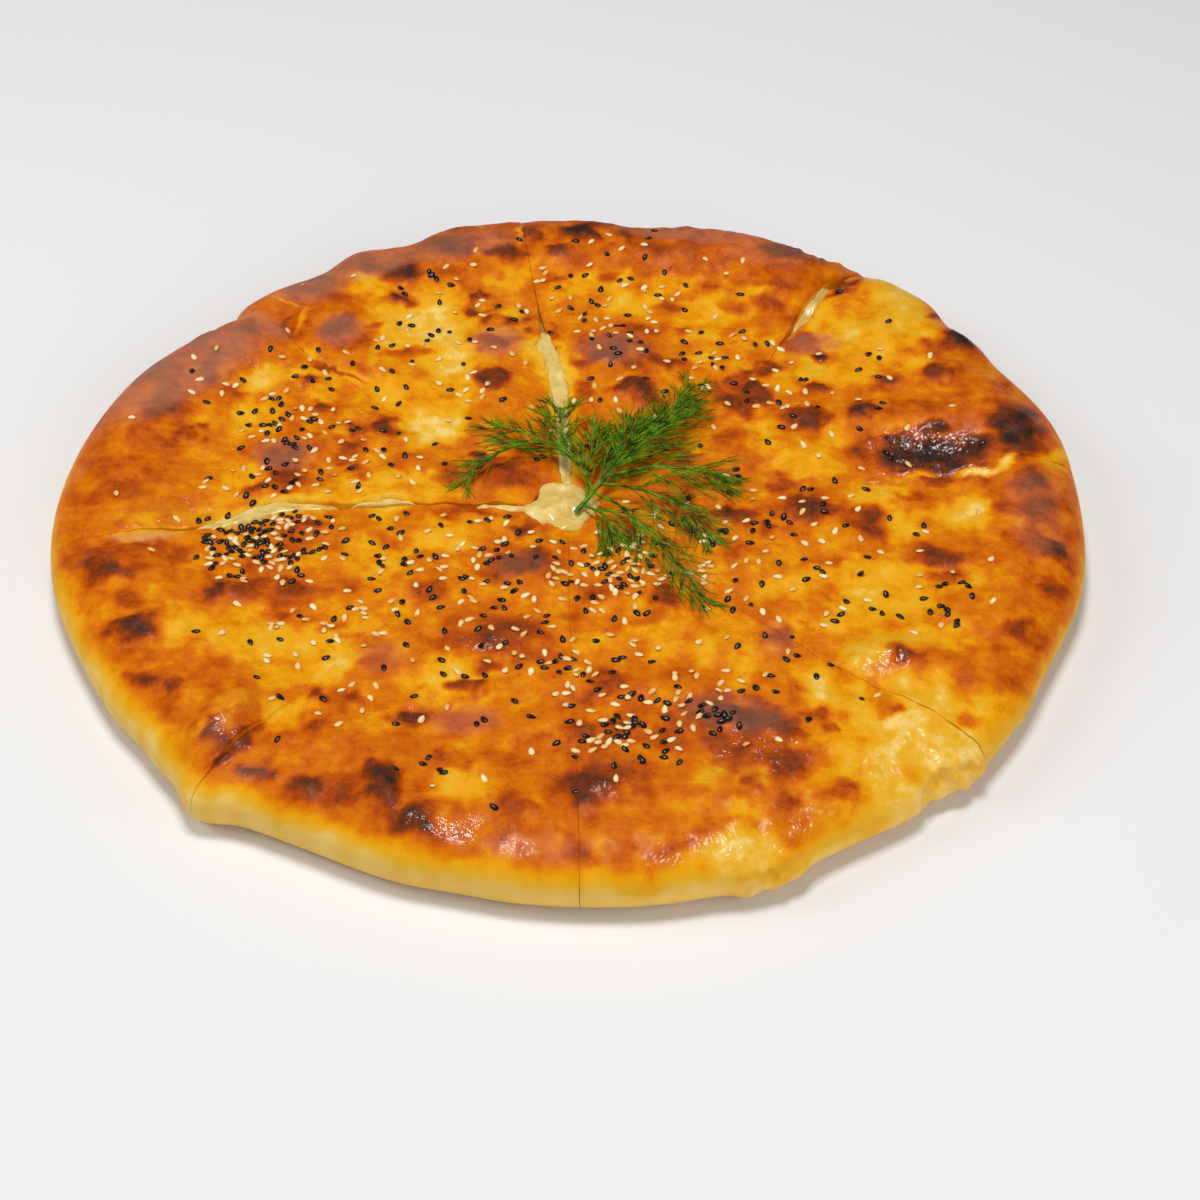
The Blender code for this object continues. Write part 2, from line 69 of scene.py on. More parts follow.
# The eight crusts. Each is one piece of dough that was folded over the filling and sealed at the
# rim, so its section is a letter C. The oven blistered the top, and a knife cut it after baking.
PIE_RADIUS = 160
MIDDLE_HEIGHT = 15.5
OUTER_HEIGHT = 17.5
DOME_RISES_OVER = 0.5
WIDEST_HEIGHT = 8.5
RIM_SWELL = 3.7
RIM_SWELL_WIDTH = 17
RIM_SWELL_INSET = 24
PUFFIER_BEHIND = 0.4
PUFFIEST_ANGLE = 100
TOP_CRUST = 3.2
BOTTOM_CRUST = 3.6
RIM_DOUGH = 15
LAYER_GAP = 0.35
KNIFE_GAP = 0.16
SLICES = 8
SLICE_TURN = math.tau / SLICES

# Shares of a slice's height: how much of it, from the top down, rises with a blister, up to where
# it sinks only in part with a hollow, and from where and over how much of it a cut opens.
RISING_PART = 0.16
SINKING_PART = 0.75
CUT_OPENS = 0.6
CUT_OPENS_OVER = 0.2

# Filling that stands less than this below the crust is level with it.
FLUSH = 1

# A cut, anticlockwise from the right: its direction in degrees and its width at these radii, how
# deep the crust sinks towards it, and how far below the crust the filling stands in it.
CUT_RADII = [0, 40, 75, 92, 110, 136, 160]
CUTS = [
    ((6.5, 6.5, 7.0, 6.3, 5.6, 7.4, 7.2), (0.05, 0.05, 0.05, 0.05, 0.1, 0.2, 0.4), 0.5, 2.5),
    ((46.0, 46.0, 45.5, 48.5, 51.0, 53.0, 51.7), (0.05, 0.05, 0.1, 0.1, 0.3, 3.8, 2.6), 2.0, 2.2),
    ((92.5, 92.5, 94.0, 95.6, 96.0, 96.5, 96.5), (2.4, 3.2, 4.4, 1.2, 0.1, 0.1, 0.4), 0.7, 0.3),
    ((144.0, 144.0, 140.7, 138.5, 139.8, 137.4, 139.2), (0.05, 0.05, 0.1, 0.15, 0.2, 0.2, 0.4), 1.2, 2.5),
    ((179.0, 179.0, 181.6, 181.0, 187.0, 188.0, 187.6), (1.8, 0.5, 1.2, 5.2, 1.8, 0.1, 0.3), 0.5, 0.3),
    ((227.0, 227.0, 227.4, 227.8, 229.5, 230.0, 230.7), (0.03, 0.03, 0.03, 0.03, 0.03, 0.04, 0.1), 0.3, 2.5),
    ((271.0, 271.0, 271.4, 271.6, 271.8, 271.7, 271.6), (0.03, 0.03, 0.03, 0.03, 0.03, 0.04, 0.1), 0.2, 2.5),
    ((315.4, 315.4, 315.5, 315.6, 315.8, 316.6, 318.0), (0.04, 0.04, 0.06, 0.1, 0.1, 0.1, 0.4), 0.5, 2.5),
]
# Where the crust is torn back from one side of a cut, 1 to its left or -1 to its right: the cut,
# the side, the radius, the spread along the cut and how wide.
TORN = [
    (2, 1, 83, 4, 2.6), (2, -1, 60, 8, 0.5), (4, 1, 99, 5, 0.8), (4, -1, 56, 7, 2.2),
    (4, 1, 20, 8, 0.8), (1, -1, 126, 6, 0.6),
]
# How far each slice's tip has drawn back, and how far from a cut and a tip the crust sags.
TIP_RADII = [8.0, 10.0, 11.5, 11.5, 11.0, 9.5, 8.5, 8.0]
CUT_SAG_WIDTH = 6
TIP_SAG_WIDTH = 5

# Where the rim stands out or is drawn in: angle and spread in degrees, and amount.
RIM_LUMPS = [
    (16, 10, 3.2), (33, 3.5, 2.6), (42, 4, 4.4), (49, 6, 6.5), (54, 3, 1.0), (65, 20, 1.0),
    (66, 9, 5.0), (82, 4, -2.4), (90, 25, 1.2), (95, 4, 1.2), (98, 8, 1.4), (104, 2.5, 1.2),
    (111, 3, -3.5), (114, 2.5, -1.8), (119, 3, 2.2), (125, 6, -4.7), (136.5, 2.5, 1.8),
    (141, 7, -9.0), (206, 13, -3.0), (219, 4, -1.5), (230.5, 3, 5.5), (240, 30, -1.0),
    (243, 10, -3.0), (259, 5, -1.2), (281, 10, 2.0), (289, 3, 2.8), (292.8, 2.2, 2.4),
    (301, 6, -1.2), (311, 2, -2.4), (316, 3, 1.4), (335, 10, -3.2),
]

# Blisters, swells and hollows: place, half length, half width, turn in degrees, height, and the
# slice that each is on, counted from 0.
SWELLS = [
    (-140, 45, 30, 15, 70, 2.6, 3), (-112, 87, 17, 10, 40, 4.6, 3), (-138, 8, 8, 7, 0, 1.8, 3),
    (-90, 24, 12, 10, 0, 1.5, 3), (-78, 4, 34, 7, 0, 1.0, 3), (-20, 12, 13, 8, 0, 2.0, 3),
    (-77, 90, 12, 10, 0, 2.4, 2), (-70, 73, 14, 7, -10, 2.4, 2), (-45, 144, 22, 9, 20, 2.6, 2),
    (-76, 131, 8, 6, 0, 1.4, 2), (-97, 97, 10, 7, 130, -2.2, 2), (-24, 75, 9, 13, 0, 1.2, 2),
    (5, 149, 12, 7, 0, 2.0, 1), (52, 138, 28, 12, -10, 2.6, 1), (74, 112, 18, 10, 60, 3.3, 1),
    (15, 82, 16, 9, -20, 2.2, 1), (23, 60, 9, 9, 0, 1.6, 1), (96, 100, 16, 10, 50, -2.0, 0),
    (130, 84, 9, 6, -30, 2.6, 0), (112, 40, 26, 10, 4, 3.2, 0), (116, 26, 19, 8, 4, -3.4, 0),
    (145, 29, 8, 11, 10, 3.4, 0), (53, 52, 15, 6, 42, 2.2, 0), (75, 42, 9, 7, 0, 1.2, 0),
    (146, 6, 10, 11, 0, 2.0, 7), (150, -26, 6, 12, 20, 1.4, 7), (112, -27, 14, 7, -5, 1.6, 7),
    (77, -4, 11, 8, 0, 1.4, 7), (97, -73, 7, 6, 0, 2.2, 7), (88, -73, 11, 5, 40, 1.8, 7),
    (-22, -65, 17, 8, 0, 1.8, 5), (-12, -31, 12, 8, 0, 1.6, 5), (-50, -127, 6, 12, 0, 2.2, 5),
    (-40, -141, 11, 7, -20, 2.4, 5), (45, -97, 16, 8, -15, 2.4, 6), (12, -127, 13, 9, 20, 2.2, 6),
    (92, -116, 20, 14, 30, -2.0, 6), (57, -146, 10, 6, 10, -1.5, 6),
    (-127, -60, 9, 7, 0, 1.6, 4), (-137, -33, 14, 8, 0, 1.4, 4), (-103, -43, 16, 7, 0, 1.5, 4),
    (-97, -102, 14, 7, 62, 5.4, 4), (-86, -112, 12, 8, 60, -1.8, 5), (-75, -2, 34, 6, 0, -0.6, 4),
]


def bell(distance, spread):
    """A smooth bump: 1 in the middle, and gone at about twice the spread."""
    return np.exp(-((distance / spread) ** 2))


def rim_radius(angle):
    """The pie's outline: how far out the rim's side is at an angle in degrees."""
    lumps = [amount * bell((angle - at + 180) % 360 - 180, spread) for at, spread, amount in RIM_LUMPS]
    return PIE_RADIUS + sum(lumps)


def smooth_height(x, y):
    """The height of the pie's top without its blisters: a low dome with a swollen rim."""
    radius = np.hypot(x, y)
    angle = np.degrees(np.arctan2(y, x))
    rim = rim_radius(angle)
    rise = (OUTER_HEIGHT - MIDDLE_HEIGHT) * np.minimum(radius / (DOME_RISES_OVER * rim), 1)
    puffed = 1 + PUFFIER_BEHIND * np.cos(np.radians(angle - PUFFIEST_ANGLE))
    swell = RIM_SWELL * puffed * bell(radius - rim + RIM_SWELL_INSET, RIM_SWELL_WIDTH)
    return MIDDLE_HEIGHT + rise + swell


def from_middle_of(x, y, at_x, at_y, half_length, half_width, turn):
    """How far places are from the middle of a turned oval, where its edge is 1."""
    turn = math.radians(turn)
    along = ((x - at_x) * math.cos(turn) + (y - at_y) * math.sin(turn)) / half_length
    aside = ((y - at_y) * math.cos(turn) - (x - at_x) * math.sin(turn)) / half_width
    return np.hypot(along, aside)


def relief(x, y, number):
    """How far the crust of one slice stands above the plain dome, or lies below it."""
    height = np.zeros_like(x)
    for *oval, amount, on in SWELLS:
        if on == number:
            height += amount * bell(from_middle_of(x, y, *oval), 1)
    return height


def ripples(x, y, spacing, seed):
    """An irregular rippling between about -2 and 2, whose bumps lie about spacing apart."""
    draw = random.Random(seed)
    total = np.zeros_like(x)
    waves = 16
    for _ in range(waves):
        turn = draw.uniform(0, math.tau)
        pace = math.tau / (spacing * draw.uniform(0.7, 1.5))
        along = x * math.cos(turn) + y * math.sin(turn)
        total += np.cos(pace * along + draw.uniform(0, math.tau))
    return total / math.sqrt(waves / 2)


def ramp(value, low, high):
    """A smooth step from 0 at low to 1 at high."""
    share = np.clip((value - low) / (high - low), 0, 1)
    return share * share * (3 - 2 * share)


def cut_side(cut, radius, side, level):
    """One side of a cut, as an angle, a distance from the middle, and how wide the cut looks.

    Only the top crust has drawn back from it. Where it has, the fillings have run together.
    """
    directions, widths, _, _ = CUTS[cut]
    # Averaged over 16 mm, which rounds the bends of its course.
    around = [radius + step for step in (-8, -4, 0, 4, 8)]
    angle = np.radians(sum(np.interp(at, CUT_RADII, directions) for at in around) / len(around))
    width = sum(np.interp(at, CUT_RADII, widths) for at in around) / len(around)
    for torn_cut, torn_side, at, spread, amount in TORN:
        if (torn_cut, torn_side) == (cut, side):
            width += 2 * amount * bell(radius - at, spread)
    opened = np.clip((level - CUT_OPENS) / CUT_OPENS_OVER, 0, 1)
    # The two sides read the ripples at other places, so that they aren't alike.
    beside = np.full_like(radius, 50.0 * side)
    wavy = 0.2 * ripples(radius, beside, 10, cut) + 0.12 * ripples(radius, beside, 4, cut)
    ragged = 1 + opened * wavy
    knifed = KNIFE_GAP * (1 - ramp(width, 0.8, 2.0))
    aside = side * (knifed * (1 - opened) + width * opened) / 2 * ragged
    x = radius * np.cos(angle) - aside * np.sin(angle)
    y = radius * np.sin(angle) + aside * np.cos(angle)
    return np.arctan2(y, x), np.hypot(x, y), width


def slice_place(number, radius, share, level):
    """Where places of a plain eighth of a disc lie on a real slice, and how far from its cuts."""
    start, start_reach, start_width = cut_side(number, radius, 1, level)
    end, end_reach, end_width = cut_side((number + 1) % SLICES, radius, -1, level)
    sweep = (end - start) % math.tau
    angle = start + share * sweep
    reach = start_reach + share * (end_reach - start_reach)
    reach *= 1 + (rim_radius(np.degrees(angle)) / PIE_RADIUS - 1) * (radius / PIE_RADIUS) ** 2
    from_cuts = (share * sweep * reach, (1 - share) * sweep * reach)
    return reach * np.cos(angle), reach * np.sin(angle), from_cuts, (start_width, end_width)


def sag(number, from_cuts, radius):
    """How far the crust and the filling under it sink beside the cuts and at the tip."""
    at_start = CUTS[number][2] * bell(from_cuts[0], CUT_SAG_WIDTH)
    at_end = CUTS[(number + 1) % SLICES][2] * bell(from_cuts[1], CUT_SAG_WIDTH)
    at_tip = bell(radius - TIP_RADII[number], TIP_SAG_WIDTH)
    return (at_start + at_end) * ramp(radius, 8, 45) + at_tip


def filling_depth(number, share):
    """How far below the crust the filling stands in the cut that is nearer to each place."""
    return np.where(share < 0.5, CUTS[number][3], CUTS[(number + 1) % SLICES][3])


def swept(section, shares):
    """Sweep an outline of radii and heights through one slice's turn, and close both ends."""
    bm = bmesh.new()
    corners = [bm.verts.new((radius, 0, height)) for radius, height in section]
    edges = [bm.edges.new(pair) for pair in zip(corners, corners[1:] + corners[:1])]
    bmesh.ops.spin(
        bm, geom=corners + edges, cent=(0, 0, 0), axis=(0, 0, 1), angle=SLICE_TURN,
        steps=len(shares) - 1,
    )
    ends = bmesh.ops.edgenet_fill(bm, edges=[edge for edge in bm.edges if edge.is_boundary])
    bmesh.ops.triangulate(bm, faces=ends["faces"])
    bmesh.ops.recalc_face_normals(bm, faces=bm.faces)
    if bm.calc_volume(signed=True) < 0:
        bmesh.ops.reverse_faces(bm, faces=bm.faces)
    return bm


def new_piece(name, bm):
    """An object from a bmesh, shaded smooth."""
    mesh = bpy.data.meshes.new(name)
    bm.to_mesh(mesh)
    bm.free()
    mesh.shade_smooth()
    piece = bpy.data.objects.new(name, mesh)
    bpy.context.scene.collection.objects.link(piece)
    return piece


def read_places(mesh):
    """A mesh's vertices, as arrays of x, y and z."""
    places = np.empty(3 * len(mesh.vertices))
    mesh.vertices.foreach_get("co", places)
    return places.reshape(-1, 3).T


def read_slice(mesh, shares):
    """A swept mesh's vertices: how far out, at which share of the slice's turn, and how high."""
    x, y, height = read_places(mesh)
    step = np.rint(np.arctan2(y, x) / SLICE_TURN * (len(shares) - 1)).astype(int)
    return np.hypot(x, y), np.array(shares)[step], height


def write_places(mesh, x, y, z):
    """Move a mesh's vertices to places in millimetres, and keep its sharp edges sharp."""
    mesh.vertices.foreach_set("co", (np.stack((x, y, z), 1) * MM).ravel())
    mesh.update()
    mesh.set_sharp_from_angle(angle=math.radians(60))


def write_attribute(mesh, name, values):
    """Store a number on each vertex, for a material to read."""
    layer = mesh.attributes.new(name, "FLOAT", "POINT")
    layer.data.foreach_set("value", values.astype(np.float32))


# Steps across a slice: close together beside the cuts, where the edges are rounded.
EDGE_SHARES = [0, 0.002, 0.005, 0.009, 0.014, 0.02, 0.028, 0.037]
middle_shares = list(np.linspace(0.046, 0.954, 134))
crust_shares = EDGE_SHARES + middle_shares + [1 - share for share in EDGE_SHARES[::-1]]


def crust_section(tip):
    """The outline of a crust, a letter C: underside, side, top, and the pocket for the filling."""
    ceiling = OUTER_HEIGHT - TOP_CRUST
    pocket = PIE_RADIUS - RIM_DOUGH
    underside = [(radius, 0) for radius in np.linspace(tip, 149, 24)]
    widest = (PIE_RADIUS, WIDEST_HEIGHT, 0)
    shoulder = (145, OUTER_HEIGHT, 0)
    lower = interpolate_bezier((151, 0, 0), (156.5, 0, 0), (PIE_RADIUS, 3.5, 0), widest, 12)
    upper = interpolate_bezier(widest, (PIE_RADIUS, 14.8, 0), (153.5, OUTER_HEIGHT, 0), shoulder, 18)
    side = [(point.x, point.y) for point in lower + upper[1:]]
    top = [(radius, OUTER_HEIGHT) for radius in np.linspace(144.1, tip, 154)]
    roof = [(radius, ceiling) for radius in np.linspace(tip, 139, 40)]
    end = [(pocket, 0.6 * OUTER_HEIGHT), (pocket, BOTTOM_CRUST + 1.5)]
    base = [(radius, BOTTOM_CRUST) for radius in np.linspace(140, tip, 24)]
    return underside + side + top + roof + end + base


# How brown the glazed top is, from 0, raw, to 1, charred, and a few ovals of painted shade in
# hollows, grooves and under lips, noted beside them: place, half length, half width, turn in
# degrees, and brownness. Each oval is laid over those before it. The places are those that the view
# shows, for a top that is level at this height.
SEEN_HEIGHT = 18
BROWNING_AND_SHADE_AREAS = [
    # The rim and the wide areas.
    (-126, 70, 34, 14, 52, 0.72), (-140, 20, 30, 15, 85, 0.58), (-80, 122, 30, 13, 35, 0.68),
    (-38, 145, 24, 10, 15, 0.72), (38, 147, 30, 10, -10, 0.7), (72, 124, 18, 12, -50, 0.66),
    (-103, 40, 8, 12, 0, 0.3), (-104, 12, 8, 9, 0, 0.34), (-90, 66, 9, 8, 0, 0.28),
    (-101, 62, 7, 8, 0, 0.2), (-48, 88, 16, 14, 0, 0.1), (-68, 117, 9, 7, 0, 0.28),
    (-28, 136, 10, 9, 0, 0.56), (-18, 121, 9, 6, 0, 0.28), (-45, 106, 8, 8, 0, 0.26),
    (-35, 65, 9, 12, 0, 0.26), (-43, 39, 11, 10, 0, 0.08), (-80, 57, 8, 6, 0, 0.4),
    (12, 120, 10, 7, 0, 0.28), (22, 108, 12, 9, 0, 0.26), (48, 102, 11, 9, 0, 0.28),
    (35, 122, 14, 9, 0, 0.4), (62, 127, 6, 6, 0, 0.42), (35, 85, 14, 9, 0, 0.5),
    (100, 98, 24, 22, 0, 0.18), (110, 115, 10, 6, -40, 0.12), (96, 106, 8, 9, 0, 0.46),
    (85, 69, 17, 11, 0, 0.28), (112, 88, 9, 13, 0, 0.22), (118, 71, 9, 10, 0, 0.58),
    (136, 64, 14, 11, 0, 0.54), (75, 29, 18, 12, 0, 0.32), (120, 46, 20, 8, 0, 0.6),
    (96, 24, 9, 11, 0, 0.66), (153, 16, 6, 9, 0, 0.34), (97, 3, 9, 6, 0, 0.18),
    (122, -9, 8, 7, 0, 0.2), (96, -43, 12, 14, 0, 0.2), (100, -88, 10, 10, 0, 0.22),
    (136, -36, 9, 20, 0, 0.52), (137, -12, 7, 9, 0, 0.64), (118, -38, 8, 6, 0, 0.26),
    (125, -76, 7, 11, 0, 0.54), (86, -73, 7, 7, 0, 0.2), (60, -30, 20, 14, 0, 0.42),
    (100, -122, 30, 24, 35, 0.17), (118, -97, 10, 9, 0, 0.4), (47, -70, 12, 10, 0, 0.34),
    (47, -122, 9, 7, 0, 0.3), (48, -152, 12, 10, 0, 0.1), (20, -140, 20, 12, 0, 0.52),
    (-33, -84, 11, 9, 0, 0.2), (-30, -125, 10, 8, 0, 0.24), (-60, -114, 26, 17, 20, 0.53),
    (-35, -13, 16, 8, 0, 0.4), (-60, -27, 14, 10, 0, 0.32), (-82, -64, 22, 12, 0, 0.3),
    (-65, -45, 9, 6, 0, 0.26), (-130, -47, 24, 11, 0, 0.46), (-85, -44, 28, 7, 0, 0.66),
    (-80, -96, 8, 7, 0, 0.32), (-92, -79, 22, 5, 0, 0.56), (-126, -10, 17, 9, 0, 0.4),
    (-132, -18, 10, 3, 0, 0.36), (-70, 1, 28, 5, 0, 0.34), (-104, 112, 6, 5, 45, 0.4),
    (-56, 56, 13, 11, 0, 0.3), (-54, 10, 11, 12, 0, 0.36), (-55, -2, 8, 4, 0, 0.25),
    (-108, -60, 20, 10, 0, 0.33), (-83, -79, 10, 7, 0, 0.38), (-55, -48, 10, 6, 0, 0.38),
    (108, -63, 16, 6, 0, 0.3), (83, -55, 12, 8, 0, 0.3), (80, -95, 9, 14, 0, 0.3),
    # The patches within them.
    (45, 92, 8, 10, 0, 0.34), (71, 78, 7, 6, 0, 0.4), (113, 70, 6, 8, 0, 0.34),
    (76, 16, 8, 6, 0, 0.24), (88, 0, 10, 4, 0, 0.3), (126, 3, 7, 5, 0, 0.45),
    (132, -12, 7, 6, 0, 0.5), (104, -14, 7, 6, 0, 0.25), (-9, 77, 6, 9, 20, 0.2),
    # (120, 12) is painted shade under the pale lip.
    (-3, 62, 3, 13, 5, 0.12), (-62, 1, 20, 3, 3, 0.24), (120, 12, 12, 3, 5, 0.8),
    # (90, 114) and (75, 96) are painted shade along the edge of the cut at about 50 degrees.
    (90, 114, 3, 10, -50, 0.72), (75, 96, 5, 7, 0, 0.66), (55, 104, 4, 4, 0, 0.6),
    (-55, 78, 7, 4, 0, 0.66), (-80, -55, 5, 6, 0, 0.66),
    (10, -103, 9, 6, 0, 0.72), (35, -100, 9, 7, 0, 0.72), (-8, -73, 8, 5, 0, 0.62),
    (30, -80, 14, 5, 0, 0.55), (18, -118, 7, 5, 0, 0.62), (52, -116, 6, 6, 0, 0.66),
    (-92, -32, 8, 5, 0, 0.6), (-71, -20, 6, 4, 0, 0.5), (-131, -47, 7, 4, 0, 0.6),
    # (-130, -22) is painted shade in the groove under the wrinkled lip.
    (-130, -22, 12, 2.5, 0, 0.66),
    (57, 22, 8, 6, 0, 0.55), (71, 33, 6, 4, 0, 0.5), (106, 11, 6, 3, 0, 0.45),
    (32, 127, 7, 5, 0, 0.62), (118, 87, 7, 5, 0, 0.4), (87, 79, 6, 5, 0, 0.45),
    (78, 88, 6, 4, 0, 0.35), (92, 59, 7, 5, 0, 0.4), (71, 62, 6, 4, 0, 0.4),
    (61, 112, 6, 5, 0, 0.35), (43, 89, 6, 5, 0, 0.3), (46, 76, 6, 5, 0, 0.3),
    (1, 116, 4, 6, 0, 0.25), (0, 69, 3, 8, 0, 0.15), (-36, 68, 6, 6, 0, 0.15),
    (-35, 100, 6, 4, 0, 0.4), (-51, 12, 6, 4, 0, 0.25), (-12, -117, 8, 5, 0, 0.6),
    (-32, -116, 6, 5, 0, 0.6), (-53, -100, 7, 5, 0, 0.4), (-96, -90, 6, 4, 0, 0.4),
    (34, -134, 7, 5, 0, 0.42), (50, -136, 7, 4, 0, 0.35), (78, -37, 8, 5, 0, 0.35),
    (96, -64, 7, 5, 0, 0.3), (124, -46, 6, 6, 0, 0.4), (128, -12, 6, 5, 0, 0.35),
    (124, -2, 5, 4, 0, 0.15), (113, -37, 7, 3.5, 0, 0.62), (-105, -8, 6, 5, 0, 0.3),
    (-100, 98, 13, 10, 45, 0.6), (-74, 65, 9, 3, -15, 0.2), (-84, 74, 5, 2.5, -60, 0.25),
    (-64, -68, 8, 5, 50, 0.2), (143, -10, 8, 18, 0, 0.68), (45, 138, 18, 7, 0, 0.62),
    (-50, 98, 14, 13, 0, 0.14), (-38, 74, 9, 9, 0, 0.16), (104, -106, 20, 12, 35, 0.14),
    (-100, 99, 12, 9, 45, 0.55), (50, -24, 6, 5, 0, 0.6), (-88, 3, 6, 2.5, 0, 0.5),
    (-60, -67, 6, 4, 0, 0.5), (-20, 100, 5, 5, 0, 0.28), (64, 80, 6, 5, 0, 0.36),
    (86, 76, 6, 5, 0, 0.32), (70, 61, 5, 5, 0, 0.34), (130, -12, 6, 6, 0, 0.35),
    (6, -92, 6, 4, 0, 0.55), (85, -31, 6, 5, 0, 0.25), (44, 90, 4, 4, 0, 0.28),
    (-77, -79, 7, 5, 0, 0.3), (-85, -66, 13, 8, 0, 0.24), (-66, -77, 4, 9, -20, 0.2),
    (-53, -73, 7, 6, 0, 0.6), (117, 89, 6, 5, 0, 0.26), (-112, 43, 8, 5, 0, 0.34),
    (30, -63, 8, 6, 0, 0.32), (66, -40, 8, 6, 0, 0.3), (14, -66, 7, 5, 0, 0.36),
    (-38, -20, 9, 5, 0, 0.24), (-62, 8, 9, 4, 0, 0.26), (60, 38, 5, 5, 0, 0.34),
    (73, -86, 10, 4, -50, 0.16), (98, -104, 16, 4, -30, 0.08), (8, -90, 9, 8, 0, 0.62),
    (8, -112, 9, 8, 0, 0.66), (-90, 90, 9, 9, 0, 0.64), (72, 130, 10, 8, 0, 0.7),
    (-62, -128, 19, 7, 15, 0.64), (50, -111, 11, 8, -10, 0.7),
]
